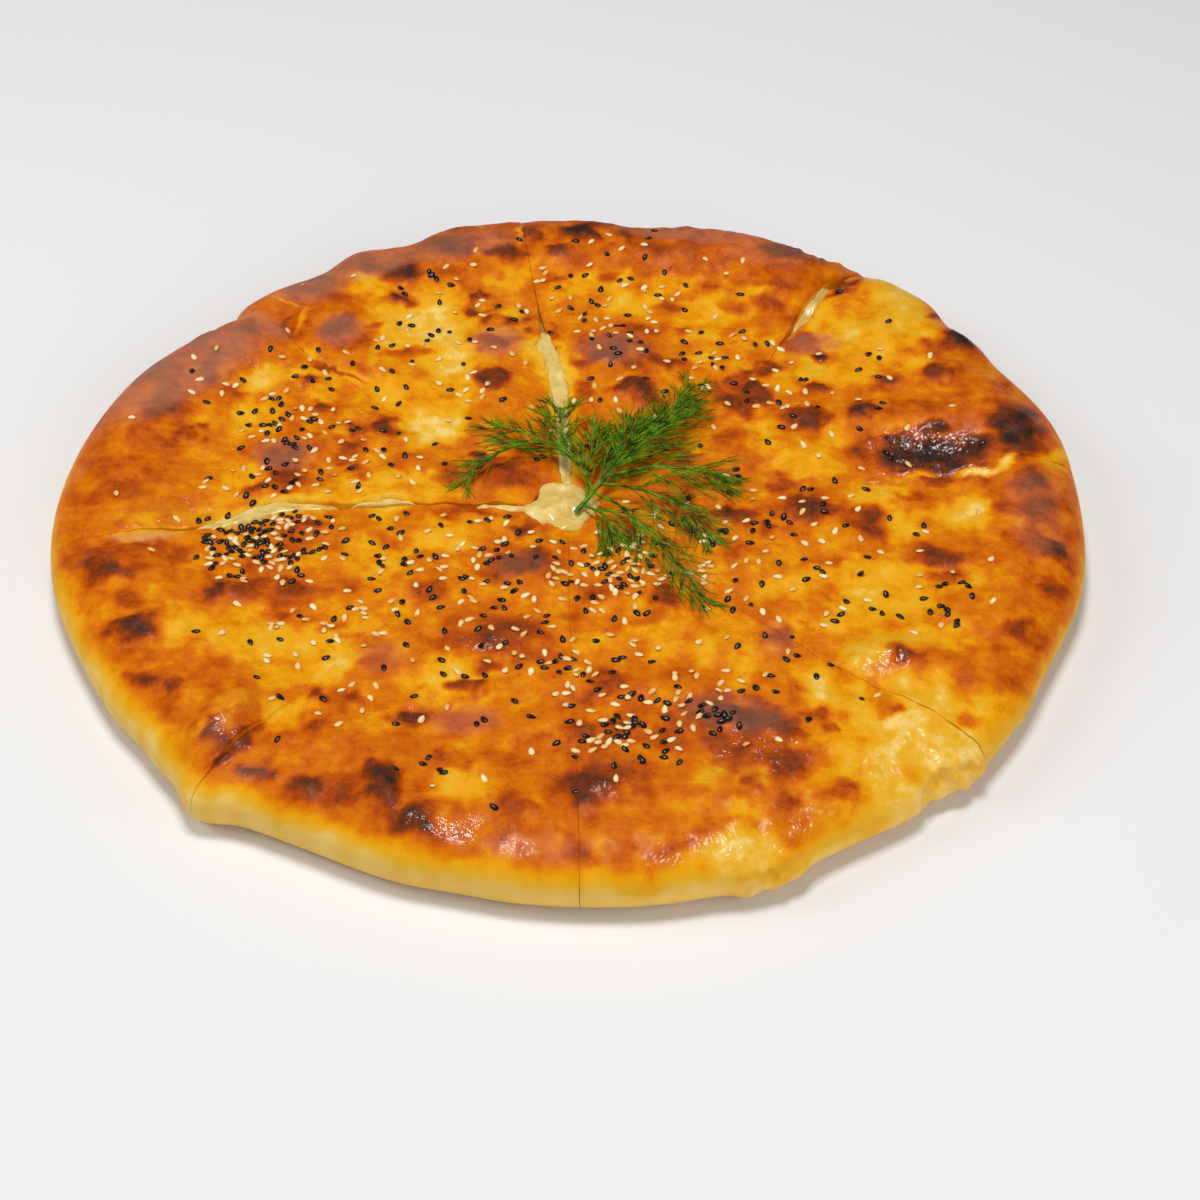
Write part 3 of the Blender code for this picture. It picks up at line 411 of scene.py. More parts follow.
# The smaller spots, slice by slice, which are laid over the areas. One that is paler than what
# it lies on takes no more than this off it.
MOST_PALED = 0.3
BROWNING_AND_SHADE_SPOTS = [
    # Slice 4, the left one.
    (-136, 68, 8, 6, 40, 0.86), (-125, 85, 7, 6, 40, 0.86), (-106, 91, 7, 5, 20, 0.84),
    (-130, 48, 7, 7, 0, 0.84), (-97, 80, 5, 6, 0, 0.58), (-138, 7, 6, 6, 0, 0.72),
    (-135, 30, 6, 5, 0, 0.66), (-122, 35, 3, 3, 0, 0.76), (-117, 37, 2.5, 2, 0, 0.76),
    (-116, 30, 2.5, 2.5, 0, 0.74), (-87, 62, 4, 4, 0, 0.85), (-90, 23, 10, 8, 0, 0.82),
    (-88, 11, 7, 7, 0, 0.8), (-97, 6, 4, 3, 0, 0.78), (-80, 48, 5, 4, 0, 0.8),
    (-69, 27, 6, 4, 0, 0.78), (-72, 21, 4, 3, 0, 0.7), (-68, 37, 4, 4, 0, 0.76),
    (-59, 37, 4.5, 4.5, 0, 0.88), (-68, 14, 4, 3, 0, 0.76), (-38, 14, 6, 4, 0, 0.7),
    (-18, 13, 13, 8, 0, 0.76), (-27, 21, 4, 3, 0, 0.92), (-5, 21, 4, 3, 0, 0.85),
    (-50, 20, 6, 4, 0, 0.6), (-110, 55, 4, 4, 0, 0.66), (-80, 33, 4, 3, 0, 0.7),
    # Slice 3, the far left one.
    # (-95, 94) is painted shade in the hollow beside the folded lip.
    (-95, 94, 3, 4.5, 0, 0.8), (-90, 118, 9, 8, 30, 0.88),
    (-72, 129, 7, 5, 10, 0.85), (-57, 125, 6.5, 6, 0, 0.93), (-58, 108, 5, 4, 0, 0.88),
    (-77, 91, 7, 9, 0, 0.85), (-43, 140, 8, 6, 0, 0.92), (-22, 137, 8, 4.5, 0, 0.86),
    (-32, 109, 3.5, 3.5, 0, 0.86), (-31, 103, 4.5, 2.5, 0, 0.85), (-27, 96, 2.5, 2, 0, 0.8),
    (-21, 95, 2.5, 2, 0, 0.8), (-24, 84, 7, 5.5, 0, 0.86), (-25, 64, 6.5, 6.5, 0, 0.88),
    (-14, 97, 2.5, 3, 0, 0.74), (-12, 90, 2.5, 3, 0, 0.74), (-15, 149, 3, 5, 0, 0.84),
    (-66, 92, 4, 3, 0, 0.7), (-70, 84, 8, 4, 30, 0.7), (-7, 88, 13, 1.2, 107, 0.7),
    # (-76, 67) is painted shade in the groove along the cut beside it.
    (-92, 117, 3, 12, 60, 0.8), (-76, 67, 12, 1.2, -35, 0.74),
    # Slice 2, the far right one.
    (5, 150, 9, 6.5, 0, 0.97), (13, 148, 4, 4, 0, 0.5), (-4, 137, 4.5, 4, 0, 0.88),
    (-11, 131, 5, 4, 0, 0.4), (30, 139, 12, 4.5, 0, 0.72), (48, 132, 9, 7, 0, 0.68),
    (12, 123, 4.5, 4, 0, 0.7), (-7, 121, 3.5, 3, 0, 0.66), (33, 104, 4.5, 4, 0, 0.7),
    (47, 118, 3.5, 3, 0, 0.64), (14, 80, 12, 9, 0, 0.84), (12, 74, 9, 3, 0, 0.92),
    (23, 90, 8, 5, 0, 0.72), (29, 72, 8, 4, -10, 0.8), (22, 58, 7, 6, 0, 0.93),
    (5, 57, 3.5, 3.5, 0, 0.72), (73, 138, 7, 5, -20, 0.9), (85, 133, 6, 5, -30, 0.74),
    # (52, 52) is painted shade in the valley of the cut at about 46 degrees.
    (68, 106, 5, 7, 0, 0.72), (52, 52, 4, 9, 42, 0.84), (-13, 146, 4, 4, 0, 0.8),
    (37, 88, 3, 2.5, 0, 0.6),
    # (92, 115) is painted shade along the gaping edge of the cut at about 50 degrees.
    (92, 115, 11, 1.3, 42, 0.85), (57, 64, 15, 2.0, 50, 0.74),
    # Slice 1, the right one.
    (123, 98, 3, 2.5, 0, 0.85), (131, 85, 7, 6, -20, 1.0), (121, 81, 5, 4, 0, 0.7),
    (120, 66, 5, 4.5, 0, 0.87), (104, 63, 4.5, 4, 0, 0.82), (76, 83, 7, 5, 0, 0.76),
    (81, 77, 3.2, 3.2, 0, 0.93), (65, 69, 5, 4, 0, 0.8), (80, 58, 5.5, 3.5, 0, 0.88),
    (60, 57, 5.5, 5, 0, 0.9), (100, 57, 6, 4, 0, 0.7), (75, 42, 8, 6.5, 0, 0.86),
    (83, 42, 3, 3, 0, 0.78), (94, 46, 5.5, 5, 0, 0.93), (60, 50, 5, 5, 0, 0.86),
    (113, 23, 16, 11, 4, 0.93), (115, 22, 14, 8, 4, 0.99), (128, 27, 7, 7, 0, 0.93),
    (117, 37, 5, 4, 0, 0.9), (103, 31, 5, 4, 0, 0.92), (143, 36, 8, 13, 5, 1.0),
    (106, 13, 5, 2.5, 0, 0.82), (50, 32, 5, 4, 0, 0.7), (102, 45, 5, 3, 0, 0.72),
    # Slice 8, below the right one.
    (145, 9, 7, 6, 0, 0.88), (146, -3, 7, 6, 0, 0.8), (148, -24, 3.5, 10, 30, 0.96),
    (144, -21, 3, 4, 0, 0.76), (145, -44, 4.5, 4.5, 0, 0.8), (75, -4, 11, 7.5, 0, 0.85),
    (68, 8, 5, 4, 0, 0.76), (92, -12, 5.5, 9, 0, 0.82), (113, -27, 11, 5, -5, 0.82),
    (108, 2, 4, 3.5, 0, 0.7), (33, -2, 7, 6, 0, 0.68), (38, -12, 5, 4, 0, 0.8),
    (51, -8, 8, 5, 0, 0.88), (38, 22, 4, 3, 0, 0.8), (97, -73, 5, 4.5, 0, 0.86),
    (132, -62, 5.5, 5, 0, 0.8), (130, -83, 4, 4, 0, 0.66), (115, -100, 4, 3, 0, 0.54),
    (62, -14, 5, 4, 0, 0.72), (80, -30, 5, 4, 0, 0.62),
    # Slice 7, in front to the right.
    (50, -98, 13, 7.5, -15, 0.92), (60, -102, 8, 5, -30, 0.88), (62, -117, 6, 9, 15, 0.8),
    (60, -133, 4, 3.5, 0, 0.76), (77, -128, 6, 5, 0, 0.74), (70, -98, 3, 2.5, 0, 0.72),
    (63, -65, 3.5, 8, 0, 0.74),
    (75, -101, 2.5, 2.5, 0, 0.7), (93, -95, 3.5, 3, 0, 0.66), (30, -46, 5.5, 5, 0, 0.82),
    (8, -45, 6.5, 6, 0, 0.74), (14, -84, 6, 5, 0, 0.75), (8, -126, 12, 7.5, 10, 0.88),
    (7, -155, 5, 4, 0, 0.75), (32, -149, 4, 3, 0, 0.7), (52, -126, 3, 3, 0, 0.7),
    (25, -56, 5, 4, 0, 0.62), (28, -108, 9, 5, -20, 0.68), (22, -95, 6, 5, 0, 0.64),
    # Slice 6, in front to the left.
    (-13, -31, 13, 8, 0, 0.74), (-13, -30, 8, 5.5, 0, 0.86), (-20, -63, 15, 8.5, 0, 0.8),
    (-34, -66, 7, 5, 0, 0.7), (-40, -44, 5, 4.5, 0, 0.74), (-28, -86, 5.5, 3.5, 0, 0.78),
    (-22, -77, 4, 3.5, 0, 0.76), (-43, -98, 5, 4.5, 0, 0.88), (-28, -100, 9, 5.5, 0, 0.68),
    (-50, -126, 5.5, 9, 10, 0.96), (-41, -140, 8, 6, -20, 0.93), (-31, -147, 6, 4, 10, 0.66),
    (-12, -137, 5, 4, 0, 0.68), (-72, -128, 7, 5.5, 0, 0.85), (-60, -131, 6, 4, 0, 0.76),
    (-87, -121.5, 5.5, 3, 0, 0.92), (-71, -91, 3.5, 3, 0, 0.8),
    (-62, -90, 4.5, 4, 0, 0.76), (-70, -101, 4.5, 4, 0, 0.76), (-14, -14, 4, 3, 0, 0.8),
    (-16, -6, 4, 3, 0, 0.74), (-55, -75, 5, 4, 0, 0.66), (-8, -108, 6, 5, 0, 0.62),
    # Slice 5, below the left one.
    (-140, -25, 11, 5, 0, 0.7), (-138, -34, 9, 5.5, 0, 0.88), (-116, -26, 6, 4, 0, 0.7),
    (-104, -43, 5, 4.5, 0, 0.88), (-95, -42, 4, 4, 0, 0.82), (-80, -42, 5, 4, 0, 0.79),
    (-85, -20, 8, 6, 0, 0.66), (-78, -13, 5, 4, 0, 0.82), (-32, -5, 12, 4, 0, 0.7),
    (-127, -60, 9, 7.5, 0, 0.74), (-127, -60, 5.5, 4.5, 0, 0.95), (-122, -83, 6.5, 3.5, 0, 0.8),
    (-113, -87, 4, 3.5, 0, 0.78), (-98, -106, 5.5, 6, 0, 0.84),
    # (-90, -108) and (-95, -116) are painted shade along the lifted flap's shaded side and under it.
    (-90, -108, 8, 4, 63, 0.84), (-95, -116, 3.5, 2, 0, 0.92), (-70, -60, 5, 4, 0, 0.6),
    (-55, -20, 5, 4, 0, 0.58),
]

# Pale ridges, where a fold or a torn edge of the dough has lifted out of the glaze.
PALE_EDGES = [
    (129, 14.0, 8, 1.7, 8, 0), (137.5, 18.3, 4.5, 1.6, 50, 0), (111, 12.0, 5, 1.3, 0, 0.3),
    (-103.5, -102, 5, 1.3, 78, 0.36), (-97, -94, 7, 1.5, 32, 0.38), (-95.5, 107, 7, 0.8, -30, 0.34),
    (-90, 97, 0.9, 7, -8, 0.36), (-18, 150, 0.8, 7, 0, 0.34), (84, 110, 1.4, 6, -28, 0.16),
    (-129, -17.5, 10, 1.3, 3, 0.26),
]

# Where the glaze is matt, with a pinkish painted sheen over it that stands in for a lamp's reflection:
# place, half sizes, turn and amount.
SHEEN_AND_MATT_AREAS = [
    (-126, 70, 36, 14, 52, 0.85), (-90, 118, 14, 11, 30, 0.8), (-43, 141, 26, 9, 15, 0.55),
    (42, 149, 30, 6, -10, 0.6), (-129, -18, 11, 2, 3, 0.8), (-77, 91, 8, 9, 0, 0.6),
    (-24, 84, 9, 8, 0, 0.6), (14, 80, 12, 9, 0, 0.5), (145, 4, 9, 10, 0, 0.3),
    (81, 83, 9, 6, 0, 0.5), (-28, -100, 10, 6, 0, 0.35), (-98, -105, 5, 7, 0, 0.2),
    (-12, -150, 9, 5, 0, 0.15), (-90, 23, 10, 8, 0, 0.5), (-109, 90, 8, 6, 30, 0.7),
    (68, 136, 14, 7, -20, 0.4), (-68, 132, 20, 9, 32, 0.7), (144, -10, 8, 18, 0, 0.3),
    (48, -97, 16, 8, -15, 0.4), (-103, 94, 13, 5, -45, 0.7), (-15, -31, 9, 6, 0, 0.25),
    (-53, -73, 8, 7, 0, 0.25), (62, -66, 5, 8, 0, 0.3), (-87, -121.5, 6, 4, 0, 0.3),
]

# Where the skin has wrinkled like that of hot milk: place, half sizes, turn and depth.
WRINKLED_AREAS = [
    (-125, -9, 18, 9, 0, 0.7), (115, 24, 21, 13, 4, 1.0), (56, -115, 14, 12, 15, 0.8),
    (98, -122, 26, 20, 35, 0.5), (-93, -94, 9, 6, 30, 0.8), (-38, -141, 10, 7, 0, 0.7),
    (47, -121, 9, 6, 0, 0.7), (-112, 72, 18, 14, 50, 0.2), (100, 108, 18, 10, -30, 0.3),
    (50, -150, 16, 10, 0, 0.6), (28, -155, 6, 5, 0, 0.7), (68, -140, 13, 6, 20, 1.0),
    (89, -73, 9, 7, 0, 0.5), (-97, -104, 6, 7, 0, 0.9), (-86, -118, 8, 8, 0, 0.3),
    (60, 10, 14, 9, 0, 0.3), (80, 76, 14, 9, 0, 0.3), (25, 78, 12, 10, 0, 0.3),
    (-90, 66, 14, 10, 0, 0.3), (-60, 35, 12, 10, 0, 0.4), (48, -35, 16, 12, 0, 0.3),
    (-20, -62, 16, 9, 0, 0.4), (12, -122, 14, 9, 0, 0.4), (-20, 98, 12, 16, 0, 0.3),
    (-28, -143, 6, 5, 0, 1.0), (-12, -150, 5, 4, 0, 0.6), (97, -72, 6, 5, 0, 0.9),
    (128, 14, 12, 5, 10, 0.8), (-40, -96, 5, 5, 0, 0.8), (98, 10, 6, 4, 0, 0.9),
]

# Where the folded dough was torn open at the rim and baked rough: place, half sizes, turn, amount.
ROUGH_RIMS = [
    (62, -156, 17, 9, 10, 1.0), (112, -120, 13, 16, 0, 1.0), (-106, -137, 10, 8, 0, 1.0),
    (88, 133, 12, 10, 0, 0.8), (136, -84, 6, 9, 0, 0.6),
]

# How far over the rim the glaze reaches at these angles, from this radius on and then down the
# side. It was brushed on from the right and behind, so the dough in front stayed bare from the
# shoulder down.
GLAZE_FROM = 135
SIDE_LENGTH = 14
GLAZE_ANGLES = [0, 150, 185, 205, 230, 238, 250, 265, 285, 300, 320, 360]
GLAZE_ENDS = [32, 32, 30, 25, 24, 25.2, 25.6, 27, 27, 30, 32, 32]


def as_seen(x, y, z):
    """Where a place seems to lie in the view, if all the top were level at SEEN_HEIGHT."""
    eye = camera.location / MM
    share = (eye.z - SEEN_HEIGHT) / (eye.z - z)
    return eye.x + (x - eye.x) * share, eye.y + (y - eye.y) * share


def browning_and_shade(x, y):
    """How brown the glazed top is, with some painted shade among it: the ovals, with their edges made
    ragged.
    """
    at_x = x + 1.2 * ripples(x, y, 13, 21) + 0.4 * ripples(x, y, 4.5, 22)
    at_y = y + 1.2 * ripples(x, y, 13, 23) + 0.4 * ripples(x, y, 4.5, 24)
    brown_and_shade = 0.47 + 0.09 * ramp(np.hypot(x, y), 110, 135)
    for *oval, amount in BROWNING_AND_SHADE_AREAS:
        brown_and_shade += (amount - brown_and_shade) * ramp(from_middle_of(at_x, at_y, *oval), 1.6, 0.35)
    brown_and_shade += 0.045 * ripples(x, y, 15, 25) + 0.022 * ripples(x, y, 6, 26)
    for *oval, amount in BROWNING_AND_SHADE_SPOTS:
        brown_and_shade += np.maximum(amount - brown_and_shade, -MOST_PALED) * ramp(from_middle_of(at_x, at_y, *oval), 1.5, 0.3)
    at_x = x + 0.3 * ripples(x, y, 12, 27) + 0.2 * ripples(x, y, 4, 28)
    at_y = y + 0.3 * ripples(x, y, 12, 29) + 0.2 * ripples(x, y, 4, 30)
    for *oval, amount in PALE_EDGES:
        brown_and_shade += (amount - brown_and_shade) * ramp(from_middle_of(at_x, at_y, *oval), 1.6, 0.3)
    return np.clip(brown_and_shade, 0.03, 1)


def most_of(areas, x, y):
    """The strongest of several soft ovals at each place."""
    most = np.zeros_like(x)
    for *oval, amount in areas:
        most = np.maximum(most, amount * ramp(from_middle_of(x, y, *oval), 1.3, 0.6))
    return most


def linear(code):
    """A colour for a socket from an sRGB hex code."""
    parts = [int(code[at : at + 2], 16) / 255 for at in (0, 2, 4)]
    return [part / 12.92 if part <= 0.04045 else ((part + 0.055) / 1.055) ** 2.4 for part in parts] + [1.0]


def set_sockets(material, node, **sockets):
    """Set a node's inputs to a value or to a node's output, by name or as _0, _1 and so on.

    A Mix node takes its factor as _0, numbers as _2 and _3, and colours as _6 and _7.
    """
    for name, value in sockets.items():
        index = int(name[1:]) if name[1:].isdigit() else name.replace("_", " ")
        if isinstance(value, bpy.types.NodeSocket):
            material.node_tree.links.new(value, node.inputs[index])
        else:
            node.inputs[index].default_value = value


def add_node(material, kind, settings=None, **sockets):
    """Add a shader node with its settings and its inputs."""
    node = material.node_tree.nodes.new(kind)
    for name, value in (settings or {}).items():
        setattr(node, name, value)
    set_sockets(material, node, **sockets)
    return node


def new_material(name):
    """A material and its Principled shader."""
    material = bpy.data.materials.new(name)
    material.use_nodes = True
    return material, material.node_tree.nodes["Principled BSDF"]


# Egg-glazed bread crust: raw cream dough through yellow and orange to red-brown and char, under
# a thin shiny glaze. Each number in the ramp is a brownness that the vertices carry.
BAKED_COLOURS = [
    (0.0, "ECC870"), (0.14, "E4AC2A"), (0.3, "E29B06"), (0.45, "D57605"), (0.58, "C65F05"),
    (0.7, "AC4707"), (0.82, "7E360F"), (0.92, "5C2B18"), (1.0, "33211C"),
]
crust, shader = new_material("egg_glazed_bread_crust")
where = add_node(crust, "ShaderNodeTexCoord").outputs["Object"]
brown_and_shade, sheen_and_matt, glazed, wrinkled = (
    add_node(crust, "ShaderNodeAttribute", {"attribute_name": name}).outputs["Fac"]
    for name in ("brown_and_shade", "sheen_and_matt", "glazed", "wrinkled")
)
# Mottling of about 6 mm, and freckles of about 1.5 mm where tiny bubbles have caught the heat.
mottle = add_node(
    crust, "ShaderNodeTexNoise", Vector=where, Scale=180.0, Detail=4.0, Roughness=0.8
).outputs["Fac"]
freckle = add_node(
    crust, "ShaderNodeTexNoise", Vector=where, Scale=620.0, Detail=2.0, Roughness=0.5
).outputs["Fac"]
mottled = add_node(
    crust, "ShaderNodeMath", {"operation": "MULTIPLY_ADD"}, _0=mottle, _1=0.58, _2=-0.29
).outputs[0]
freckled = add_node(
    crust, "ShaderNodeMapRange", {"interpolation_type": "SMOOTHSTEP"},
    Value=freckle, From_Min=0.6, From_Max=0.76, To_Min=0.0, To_Max=0.09,
).outputs[0]
uneven = add_node(crust, "ShaderNodeMath", {"operation": "ADD"}, _0=mottled, _1=freckled).outputs[0]
on_glaze = add_node(crust, "ShaderNodeMath", {"operation": "MULTIPLY"}, _0=uneven, _1=glazed).outputs[0]
shade = add_node(
    crust, "ShaderNodeMath", {"operation": "ADD", "use_clamp": True}, _0=brown_and_shade, _1=on_glaze
).outputs[0]
baked = add_node(crust, "ShaderNodeValToRGB", Fac=shade)
for spare in baked.color_ramp.elements[1:]:
    baked.color_ramp.elements.remove(spare)
for at, code in BAKED_COLOURS:
    stop = baked.color_ramp.elements[0] if at == 0 else baked.color_ramp.elements.new(at)
    stop.color = linear(code)
# A thin pinkish painted sheen, in place of a lamp's reflection, where the glaze is matt, and bare dough that
# is duller than glaze.
painted_sheen = add_node(crust, "ShaderNodeMath", {"operation": "MULTIPLY"}, _0=sheen_and_matt, _1=0.55).outputs[0]
with_painted_sheen = add_node(
    crust, "ShaderNodeMix", {"data_type": "RGBA"},
    _0=painted_sheen, _6=baked.outputs["Color"], _7=linear("BC8064"),
).outputs[2]
gloss = add_node(
    crust, "ShaderNodeMapRange", Value=mottle, From_Min=0.3, From_Max=0.7, To_Min=0.46, To_Max=0.58
).outputs[0]
duller = add_node(
    crust, "ShaderNodeMath", {"operation": "MULTIPLY_ADD"}, _0=sheen_and_matt, _1=0.16, _2=gloss
).outputs[0]
roughness = add_node(
    crust, "ShaderNodeMix", {"data_type": "FLOAT"}, _0=glazed, _2=0.6, _3=duller
).outputs[0]
# The skin's grain is about 0.6 mm, with creases of about 2 mm.
grain = add_node(crust, "ShaderNodeTexNoise", Vector=where, Scale=1500.0, Detail=2.0).outputs["Fac"]
crease = add_node(
    crust, "ShaderNodeTexNoise", Vector=where, Scale=450.0, Detail=3.0, Distortion=0.6
).outputs["Fac"]
creased = add_node(
    crust, "ShaderNodeBump", Strength=0.2, Distance=0.5 * MM, Height=crease
).outputs["Normal"]
grained = add_node(
    crust, "ShaderNodeBump", Strength=0.12, Distance=0.2 * MM, Height=grain, Normal=creased
).outputs["Normal"]
# The glaze has pooled and set in fine wrinkles, which break its shine up into lines of about 2 mm.
wrinkle = add_node(
    crust, "ShaderNodeTexNoise", Vector=where, Scale=430.0, Detail=1.0, Distortion=1.0
).outputs["Fac"]
centred = add_node(crust, "ShaderNodeMath", {"operation": "SUBTRACT"}, _0=wrinkle, _1=0.5).outputs[0]
ridge = add_node(crust, "ShaderNodeMath", {"operation": "ABSOLUTE"}, _0=centred).outputs[0]
wrinkle_depth = add_node(
    crust, "ShaderNodeMath", {"operation": "MULTIPLY_ADD", "use_clamp": True},
    _0=wrinkled, _1=0.65, _2=0.2,
).outputs[0]
glaze_skin = add_node(
    crust, "ShaderNodeBump", Strength=wrinkle_depth, Distance=0.7 * MM, Height=ridge
).outputs["Normal"]
shine = add_node(
    crust, "ShaderNodeMath", {"operation": "MULTIPLY_ADD", "use_clamp": True},
    _0=wrinkled, _1=0.97, _2=0.03,
).outputs[0]
set_sockets(
    crust, shader, Base_Color=with_painted_sheen, Roughness=roughness, Normal=grained, IOR=1.45,
    Specular_IOR_Level=0.1, Coat_Weight=shine, Coat_Roughness=0.07, Coat_IOR=1.45, Coat_Normal=glaze_skin,
    Subsurface_Weight=0.12, Subsurface_Radius=(1.0, 0.45, 0.15), Subsurface_Scale=2.5 * MM,
)

crust_trees = []
for number, tip in enumerate(TIP_RADII):
    piece = new_piece(f"crust_slice_{number + 1}", swept(crust_section(tip), crust_shares))
    radius, share, height = read_slice(piece.data, crust_shares)
    level = height / OUTER_HEIGHT
    x, y, from_cuts, widths = slice_place(number, radius, share, level)
    edge = np.minimum(*from_cuts)
    width = np.where(share < 0.5, *widths)
    # Only the top rises with a blister, but what lies under a hollow sinks with it.
    top = np.clip((level - (1 - RISING_PART)) / RISING_PART, 0, 1)
    lift = relief(x, y, number) - sag(number, from_cuts, radius)
    follows = np.where(lift > 0, top, np.clip(level / SINKING_PART, 0, 1))
    z = level * smooth_height(x, y) + follows * lift
    seen_x, seen_y = as_seen(x, y, z)
    brown_and_shade = browning_and_shade(seen_x, seen_y)
    wrinkled = most_of(WRINKLED_AREAS, seen_x, seen_y)
    # The torn dough stands out and in by a millimetre or so, on the rim's side alone.
    rough = most_of(ROUGH_RIMS, x, y) * ramp(radius, 147, 154)
    along = PIE_RADIUS * np.arctan2(y, x)
    crags = 0.55 * ripples(along, z, 7, 34) + 0.3 * ripples(along, z, 3.2, 35)
    outward = 1 + rough * crags / PIE_RADIUS
    x, y = x * outward, y * outward
    # The glaze thins out over the rim's shoulder, and the dough below it stays pale.
    outside = (radius > PIE_RADIUS - RIM_DOUGH + 0.5) | (height > OUTER_HEIGHT - 0.1)
    down = (
        radius - GLAZE_FROM + SIDE_LENGTH * (1 - level)
        + 0.9 * ripples(x, y, 20, 6) + 0.3 * ripples(x, y, 6, 7)
    )
    glaze_end = np.interp(np.degrees(np.arctan2(y, x)) % 360, GLAZE_ANGLES, GLAZE_ENDS)
    glazed = np.where(outside, ramp(down, glaze_end + 6, glaze_end - 9), 0)
    # Bare dough is pale, and browner at the very bottom: the underside's baking, with painted shade where
    # the rim meets the floor.
    raw = 0.05 + 0.02 * ripples(x, y, 9, 8) + 0.3 * bell(level, 0.05)
    # Melted filling has kept the crust pale beside the cuts that it fills.
    flush = filling_depth(number, share) < FLUSH
    paled = 0.85 * flush * ramp(width, 1.5, 4) * bell(edge, 2.2)
    brown_and_shade += (0.1 - brown_and_shade) * paled
    # The skin is uneven all over, and stands highest where it has charred.
    fine = 0.3 * ripples(x, y, 22, 1) + 0.16 * ripples(x, y, 8, 2) + 0.05 * ripples(x, y, 3, 3)
    fine += 0.6 * ramp(brown_and_shade, 0.6, 0.95) - 0.2
    # It has creased deepest where it charred or stayed raw.
    creases = np.abs(ripples(x + ripples(x, y, 7, 4), y, 3.4, 5))
    deep = 0.25 + 0.65 * ramp(np.abs(brown_and_shade - 0.5), 0.3, 0.45)
    fine -= wrinkled * (1 - np.minimum(creases, 1)) * deep
    # The wider a cut gapes, the rounder its edges are.
    bend = np.minimum(0.05 + 0.45 * width, 1.8)
    rounding = bend * (1 - np.sqrt(1 - (1 - np.clip(edge / bend, 0, 1)) ** 2))
    z += top * (fine - rounding)
    write_places(piece.data, x, y, z)
    write_attribute(piece.data, "brown_and_shade", brown_and_shade * glazed + raw * (1 - glazed))
    # Where the glaze is matt, which also carries its painted sheen.
    write_attribute(piece.data, "sheen_and_matt", most_of(SHEEN_AND_MATT_AREAS, seen_x, seen_y) * glazed)
    write_attribute(piece.data, "wrinkled", wrinkled * glazed)
    write_attribute(piece.data, "glazed", glazed)
    piece.data.materials.append(crust)
    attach(piece, "root")
    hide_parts(f"crust_{number + 1}")
    crust_trees.append(BVHTree.FromObject(piece, bpy.context.evaluated_depsgraph_get()))


# The filling of each slice: soft, pale and partly melted. It fills the pocket of the crust, and
# it has swollen up between the crusts where a cut gapes.

# Melted soft filling: cream with yellower clots of about 6 mm, moist, and it lets light in.
filling, shader = new_material("melted_soft_filling")
where = add_node(filling, "ShaderNodeTexCoord").outputs["Object"]
clots = add_node(
    filling, "ShaderNodeTexNoise", Vector=where, Scale=180.0, Detail=4.0, Roughness=0.6
).outputs["Fac"]
creamy = add_node(filling, "ShaderNodeValToRGB", Fac=clots)
for stop, at, code in zip(creamy.color_ramp.elements, (0.3, 0.65), ("CFA844", "ECCF82")):
    stop.position = at
    stop.color = linear(code)
lumps = add_node(filling, "ShaderNodeBump", Strength=0.35, Distance=0.8 * MM, Height=clots).outputs["Normal"]
set_sockets(
    filling, shader, Base_Color=creamy.outputs["Color"], Roughness=0.28, Normal=lumps, IOR=1.45,
    Coat_Weight=0.3, Coat_Roughness=0.1,
    Subsurface_Weight=0.25, Subsurface_Radius=(1.0, 0.8, 0.4), Subsurface_Scale=3 * MM,
)


def filling_section(tip):
    """The outline of a filling, which fits the crust's pocket with a small gap all round."""
    pocket = PIE_RADIUS - RIM_DOUGH - LAYER_GAP
    roof = [(radius, OUTER_HEIGHT - TOP_CRUST - LAYER_GAP) for radius in np.linspace(tip, 139, 110)]
    end = [(pocket, 0.6 * OUTER_HEIGHT - LAYER_GAP), (pocket, BOTTOM_CRUST + 1.5 + LAYER_GAP)]
    base = [(radius, BOTTOM_CRUST + LAYER_GAP) for radius in np.linspace(140, tip, 24)]
    return roof + end + base


# Steps across a filling: closest beside the cuts, where it swells up into a gap.
CUT_SHARES = [0, 0.003, 0.007, 0.012, 0.018, 0.025, 0.034, 0.045, 0.058, 0.072, 0.088]
filling_shares = CUT_SHARES + list(np.linspace(0.11, 0.89, 14)) + [1 - share for share in CUT_SHARES[::-1]]

for number, tip in enumerate(TIP_RADII):
    piece = new_piece(f"filling_wedge_{number + 1}", swept(filling_section(tip), filling_shares))
    radius, share, height = read_slice(piece.data, filling_shares)
    level = height / OUTER_HEIGHT
    x, y, from_cuts, widths = slice_place(number, radius, share, np.full_like(level, 0.5))
    lift = np.minimum(relief(x, y, number), 0) - sag(number, from_cuts, radius)
    z = level * smooth_height(x, y) + np.clip(level / SINKING_PART, 0, 1) * lift
    # A filled cut is level from one side to the other, whatever the crusts beside it do.
    below = filling_depth(number, share)
    lift = np.where(below < FLUSH, -sag(number, from_cuts, radius), lift)
    width = np.where(share < 0.5, *widths)
    in_gap = ramp(width / 2 - np.minimum(*from_cuts), -1.6, -0.2)
    bared = in_gap * ramp(width, 0.8, 2.0) * ramp(height, 10, 13)
    z += bared * (smooth_height(x, y) + lift - below + 0.2 * ripples(x, y, 8, 9) - z)
    write_places(piece.data, x, y, z)
    piece.data.materials.append(filling)
    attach(piece, "root")
    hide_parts(f"filling_{number + 1}")


# The melted middle: filling that has run together where the tips have drawn apart, and has
# spread a little over them in a low, lumpy, shiny pool.
POOL_HEIGHT = 15.8
POOL_SPREAD = 1.4


